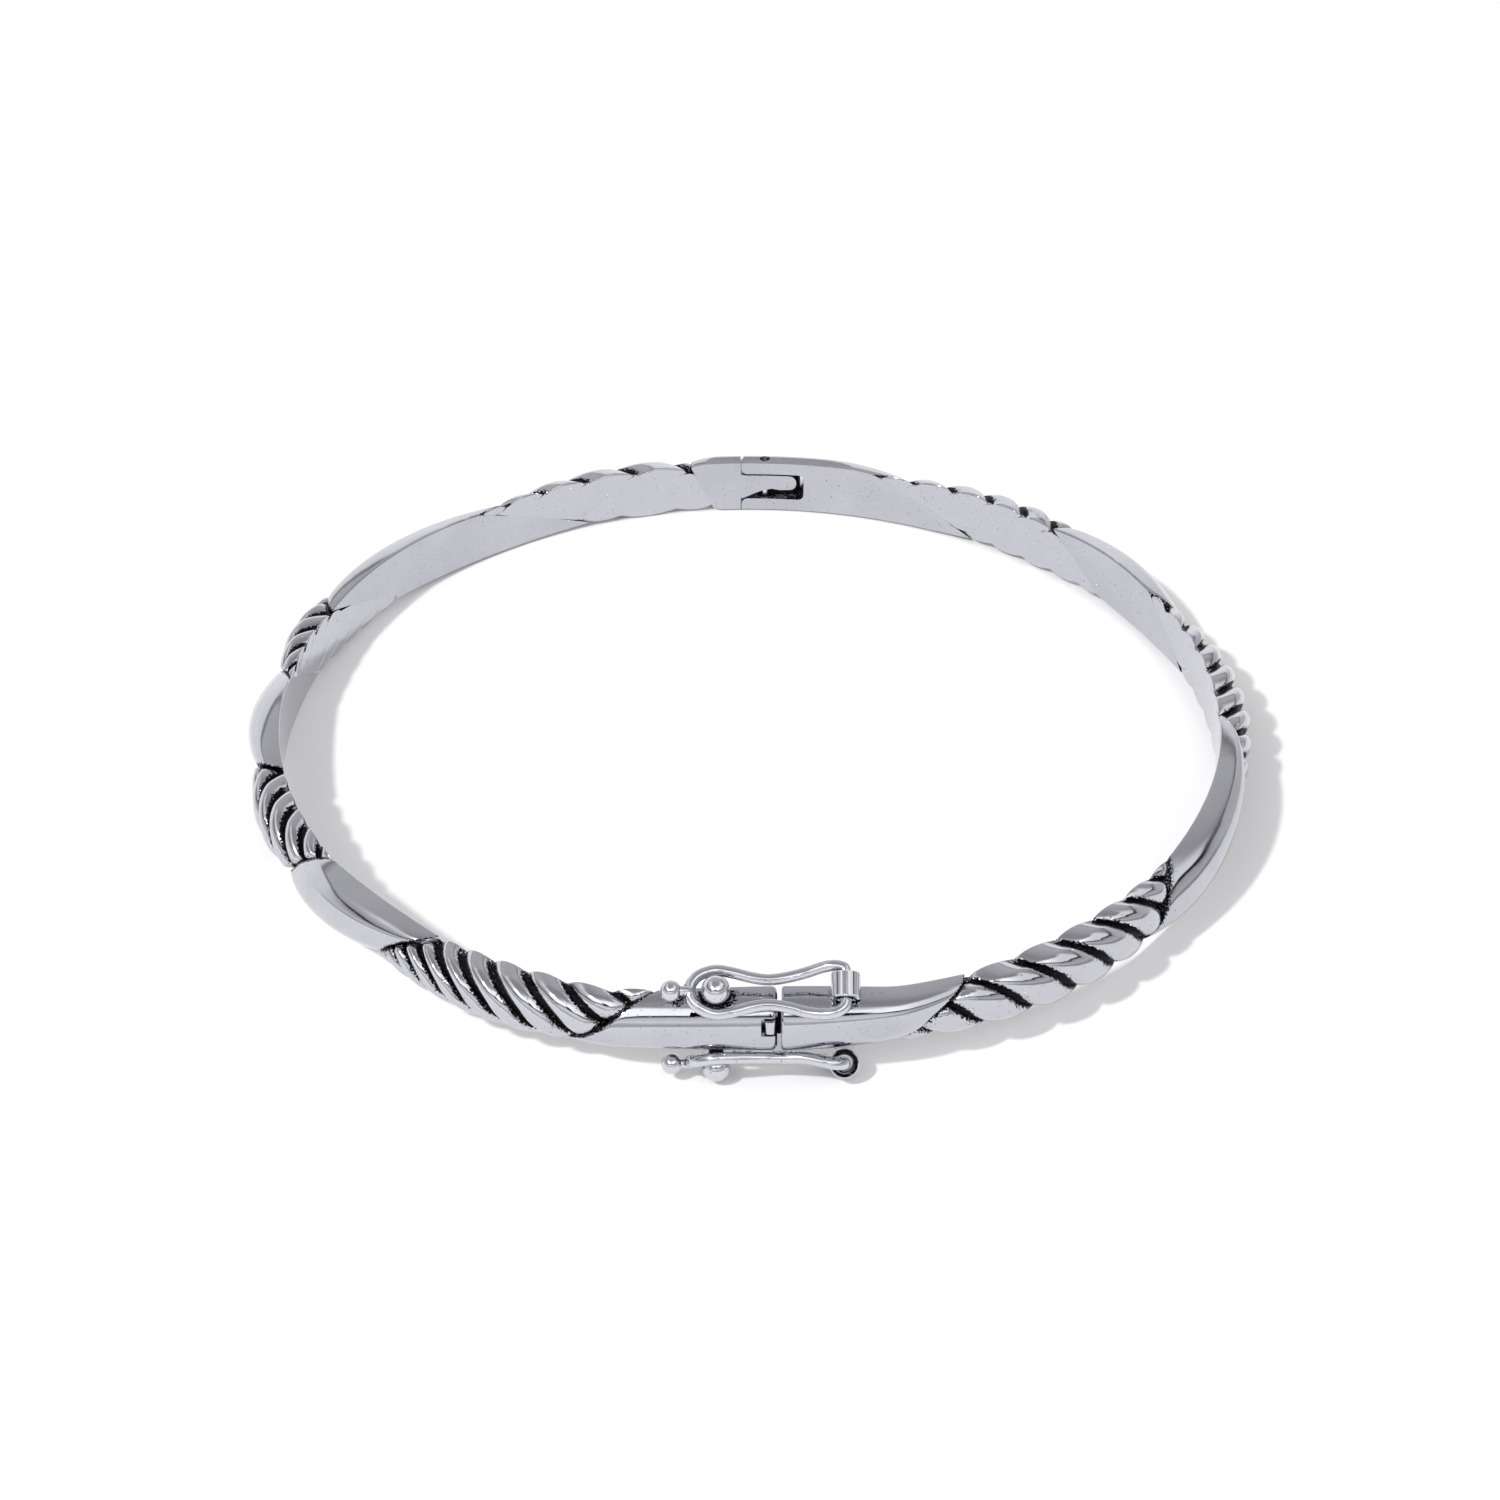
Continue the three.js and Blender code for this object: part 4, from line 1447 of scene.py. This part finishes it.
@dataclass
class CatchBall(LatchPart):
    """The ball that a latch snaps over, on a post soldered to the left half."""

    post_length: float = 1.9

    def make(self, workshop: Workshop) -> bpy.types.Object:
        """Builds the piece."""
        radius, post = LATCH.catch_radius, LATCH.post_radius
        meet = -math.degrees(math.acos(post / radius))
        outline = [(0.0, -self.post_length), (post + 0.3, -self.post_length), (post + 0.22, -1.25)]
        outline += arc((post + 0.22, -1.03), 0.22, 270, 180, 4)[1:]
        outline += arc((0, 0), radius, meet, 90, 20)
        outline[-1] = (0.0, radius)
        bm = turned(outline, 36)
        # Painted shade on the post under the ball.
        blacken(bm, lambda spot: 1 - smoothstep(spot.z, -0.85, -0.5))
        bmesh.ops.translate(bm, verts=bm.verts, vec=(LATCH.catch_x, 0, LATCH.catch_rise))
        return self.finish(workshop, bm, "catch_ball", "left_half")


# ---------------------------------------------------------------- the whole bangle

@dataclass
class Bangle:
    """Every piece of the bangle: the band's sections, the pin, the tongue and the latches."""

    workshop: Workshop = field(default_factory=Workshop)

    def sections(self) -> list[LeafSection | RopeSection]:
        """The band's sections, anticlockwise from the clasp."""
        right, left = "right_half", "left_half"
        return [
            ClaspEnd(
                "right_clasp_leaf", right, 273.5, 294.5, 0, 11, part=(0.39, 1), stations=150,
                face_x=CLASP.right_face, face_round=0.14, ridge_low=0.17, flatness=0.25,
            ),
            RopeSection("right_cable_front", right, 294.5, 328, 11, 10, strands=6, growth=-0.1),
            LeafSection("right_leaf_side", right, 328, 358.5, 10, 24),
            RopeSection("right_cable_side", right, 358.5, 387, 24, 10, strands=6),
            LeafSection("right_leaf_back", right, 387, 406, 10, 9),
            RopeSection("right_cable_back", right, 406, 433, 9, 14, strands=5, growth=0.1),
            HingeFork("right_hinge_leaf", right, 433, 451.15, 14, 0, part=(0, 0.72)),
            HingeLug("left_hinge_leaf", left, 91.15, 98, 0, 3, part=(0.72, 1)),
            RopeSection("left_cable_back", left, 98, 129, 3, 17, strands=5, growth=-0.25),
            LeafSection("left_leaf_back", left, 129, 158, 17, 16, flatness=0.4),
            RopeSection("left_cable_side", left, 158, 174, 16, 11, strands=4),
            LeafSection("left_leaf_side", left, 174, 193, 11, 10, flatness=0.2),
            RopeSection("left_cable_low", left, 193, 213, 10, 10, strands=5),
            LeafSection("left_leaf_front", left, 213, 232.5, 10, 12),
            RopeSection("left_cable_front", left, 232.5, 260, 12, 12, strands=6, growth=0.3),
            ClaspBox(
                "left_clasp_leaf", left, 260, 273.5, 12, 0, part=(0, 0.39), stations=110,
                face_x=CLASP.left_face, face_round=0.36, ridge_low=0.17, flatness=0.25,
            ),
        ]

    def make(self) -> None:
        """Builds all of the pieces."""
        for section in self.sections():
            section.make(self.workshop)
        HingePin().make(self.workshop)
        tongue = Tongue()
        tongue.make_fixed(self.workshop)
        tongue.make_spring(self.workshop)
        for side in Side:
            Latch(side).make(self.workshop)
            LatchTube(side).make(self.workshop)
            CatchBall(side).make(self.workshop)


# ---------------------------------------------------------------- the studio

# Greys of the studio's boards by height: sine of the elevation, then radiance.
FRONT_BOARDS = [
    (0.0, 0.65), (0.1, 0.75), (0.2, 1.15), (0.42, 0.9), (0.485, 0.02), (0.525, 0.02), (0.55, 1.9),
    (0.82, 1.7), (0.9, 0.5), (1.0, 0.4),
]
SIDE_BOARDS = [
    (0.0, 0.5), (0.2, 0.9), (0.38, 0.5), (0.46, 0.02), (0.5, 0.02), (0.54, 0.5), (0.7, 0.7),
    (1.0, 0.5),
]
REAR_BOARDS = [(0.0, 1.2), (0.42, 1.1), (0.48, 0.25), (0.54, 0.7), (0.8, 0.6), (1.0, 0.5)]


@dataclass
class Studio:
    """A white table, a soft key light from the front left, painted boards and the camera."""

    distance: float = 232.0
    elevation: float = 34.9
    lens: float = 89.42
    sensor: float = 36.0
    rise: float = 22 / 1500
    floor_front: tuple[float, float] = (-28.8, -3.9)
    floor_back: tuple[float, float] = (29.5, -1.92)
    floor_radius: float = 900.0
    key_direction: tuple[float, float, float] = (-0.465, -0.499, 0.731)
    key_distance: float = 700.0
    key_side: float = 45.0
    key_watts: float = 2.9

    @property
    def toward(self) -> Vector:
        """The direction from the ring's centre to the camera."""
        lift = math.radians(self.elevation)
        return Vector((0, -math.cos(lift), math.sin(lift)))

    def make_camera(self) -> None:
        """Puts the camera where it looks down at the clasp."""
        data = bpy.data.cameras.new("camera")
        data.lens = self.lens
        data.sensor_width = self.sensor
        data.shift_y = -self.rise
        data.clip_start = 0.01
        camera = new_object("camera", data)
        camera.location = self.toward * self.distance * MM
        camera.rotation_euler = (math.pi / 2 - math.radians(self.elevation), 0, 0)
        bpy.context.scene.camera = camera

    def make_floor(self) -> None:
        """Lays the table top, which touches the lower latch in front and the band behind."""
        bm = bmesh.new()
        bmesh.ops.create_circle(bm, cap_ends=True, segments=96, radius=self.floor_radius * MM)
        (front_y, front_z), (back_y, back_z) = self.floor_front, self.floor_back
        slope = math.atan2(back_z - front_z, back_y - front_y)
        swing(bm, slope, "X")
        middle = front_z - front_y * math.tan(slope)
        bmesh.ops.translate(bm, verts=bm.verts, vec=(0, 0, middle * MM))
        mesh = bpy.data.meshes.new("table_top")
        bm.to_mesh(mesh)
        bm.free()
        floor = new_object("table_top", mesh)
        material = bpy.data.materials.new("white acrylic sheet, cast and matt")
        material.use_nodes = True
        shader = material.node_tree.nodes["Principled BSDF"]
        shader.inputs["Base Color"].default_value = linear_colour("F7F7F7")
        shader.inputs["Roughness"].default_value = 0.9
        shader.inputs["Specular IOR Level"].default_value = 0.0
        mesh.materials.append(material)

    def make_key(self) -> None:
        """Hangs the soft box that casts the shadow, turned towards the ring."""
        data = bpy.data.lights.new("key", "AREA")
        data.shape = "RECTANGLE"
        data.size = data.size_y = self.key_side * MM
        data.energy = self.key_watts
        light = new_object("key", data)
        light.location = Vector(self.key_direction).normalized() * self.key_distance * MM
        light.rotation_euler = light.location.to_track_quat("Z", "Y").to_euler()

    def make_world(self) -> None:
        """Paints the boards: front, side and rear, with a dark gap between the lower and upper ones."""
        world = bpy.data.worlds.new("studio")
        bpy.context.scene.world = world
        world.use_nodes = True
        tree = world.node_tree
        tree.nodes.clear()
        look = add_node(tree, "ShaderNodeTexCoord").outputs["Generated"]
        sway = add_node(tree, "ShaderNodeTexNoise", None, {
            "Vector": look, "Scale": 2.2, "Detail": 1.0,
        }).outputs["Fac"]
        parts = add_node(tree, "ShaderNodeSeparateXYZ", None, {0: look})
        height = add_math(tree, "MULTIPLY_ADD", sway, 0.3, -0.15)
        height = add_math(tree, "ADD", height, parts.outputs["Z"])
        front, side, rear = (
            self._boards(tree, height, stops) for stops in (FRONT_BOARDS, SIDE_BOARDS, REAR_BOARDS)
        )
        aside = add_rise(tree, parts.outputs["X"], -0.35, -0.75)
        behind = add_rise(tree, parts.outputs["Y"], 0.15, 0.5)
        right = add_rise(tree, parts.outputs["X"], 0.2, 0.7)
        dimmed_right = add_math(tree, "MULTIPLY_ADD", right, -0.4, 1.0)
        walls = add_mix(tree, behind, add_mix(tree, aside, front, side), rear)
        facing = add_node(tree, "ShaderNodeVectorMath", {"operation": "DOT_PRODUCT"}, {
            0: look, 1: tuple(self.toward),
        }).outputs["Value"]
        lens = add_rise(tree, facing, 0.996, 0.991)
        strength = add_math(tree, "MULTIPLY", dimmed_right, lens)
        light = add_node(tree, "ShaderNodeBackground", None, {"Color": walls, "Strength": strength})
        add_node(tree, "ShaderNodeOutputWorld", None, {"Surface": light.outputs["Background"]})

    @staticmethod
    def _boards(
        tree: bpy.types.NodeTree, height: bpy.types.NodeSocket, stops: list[tuple[float, float]],
    ) -> bpy.types.NodeSocket:
        """A ramp of greys from the horizon up to the zenith."""
        ramp = add_node(tree, "ShaderNodeValToRGB", None, {"Fac": height})
        elements = ramp.color_ramp.elements
        while len(elements) < len(stops):
            elements.new(0.5)
        for element, (place, grey) in zip(elements, stops):
            element.position = place
            element.color = (grey, grey, grey * 1.01, 1)
        return ramp.outputs["Color"]

    def make(self) -> None:
        """Builds the studio and settles how light turns into colour."""
        self.make_floor()
        self.make_world()
        self.make_key()
        bpy.context.scene.view_settings.view_transform = "Standard"


def main() -> None:
    """Builds the camera, the bangle and the studio."""
    logging.basicConfig(level=logging.INFO, format="%(name)s: %(message)s")
    studio = Studio()
    studio.make_camera()
    Bangle().make()
    studio.make()
    bpy.context.view_layer.update()


if __name__ == "__main__":
    main()
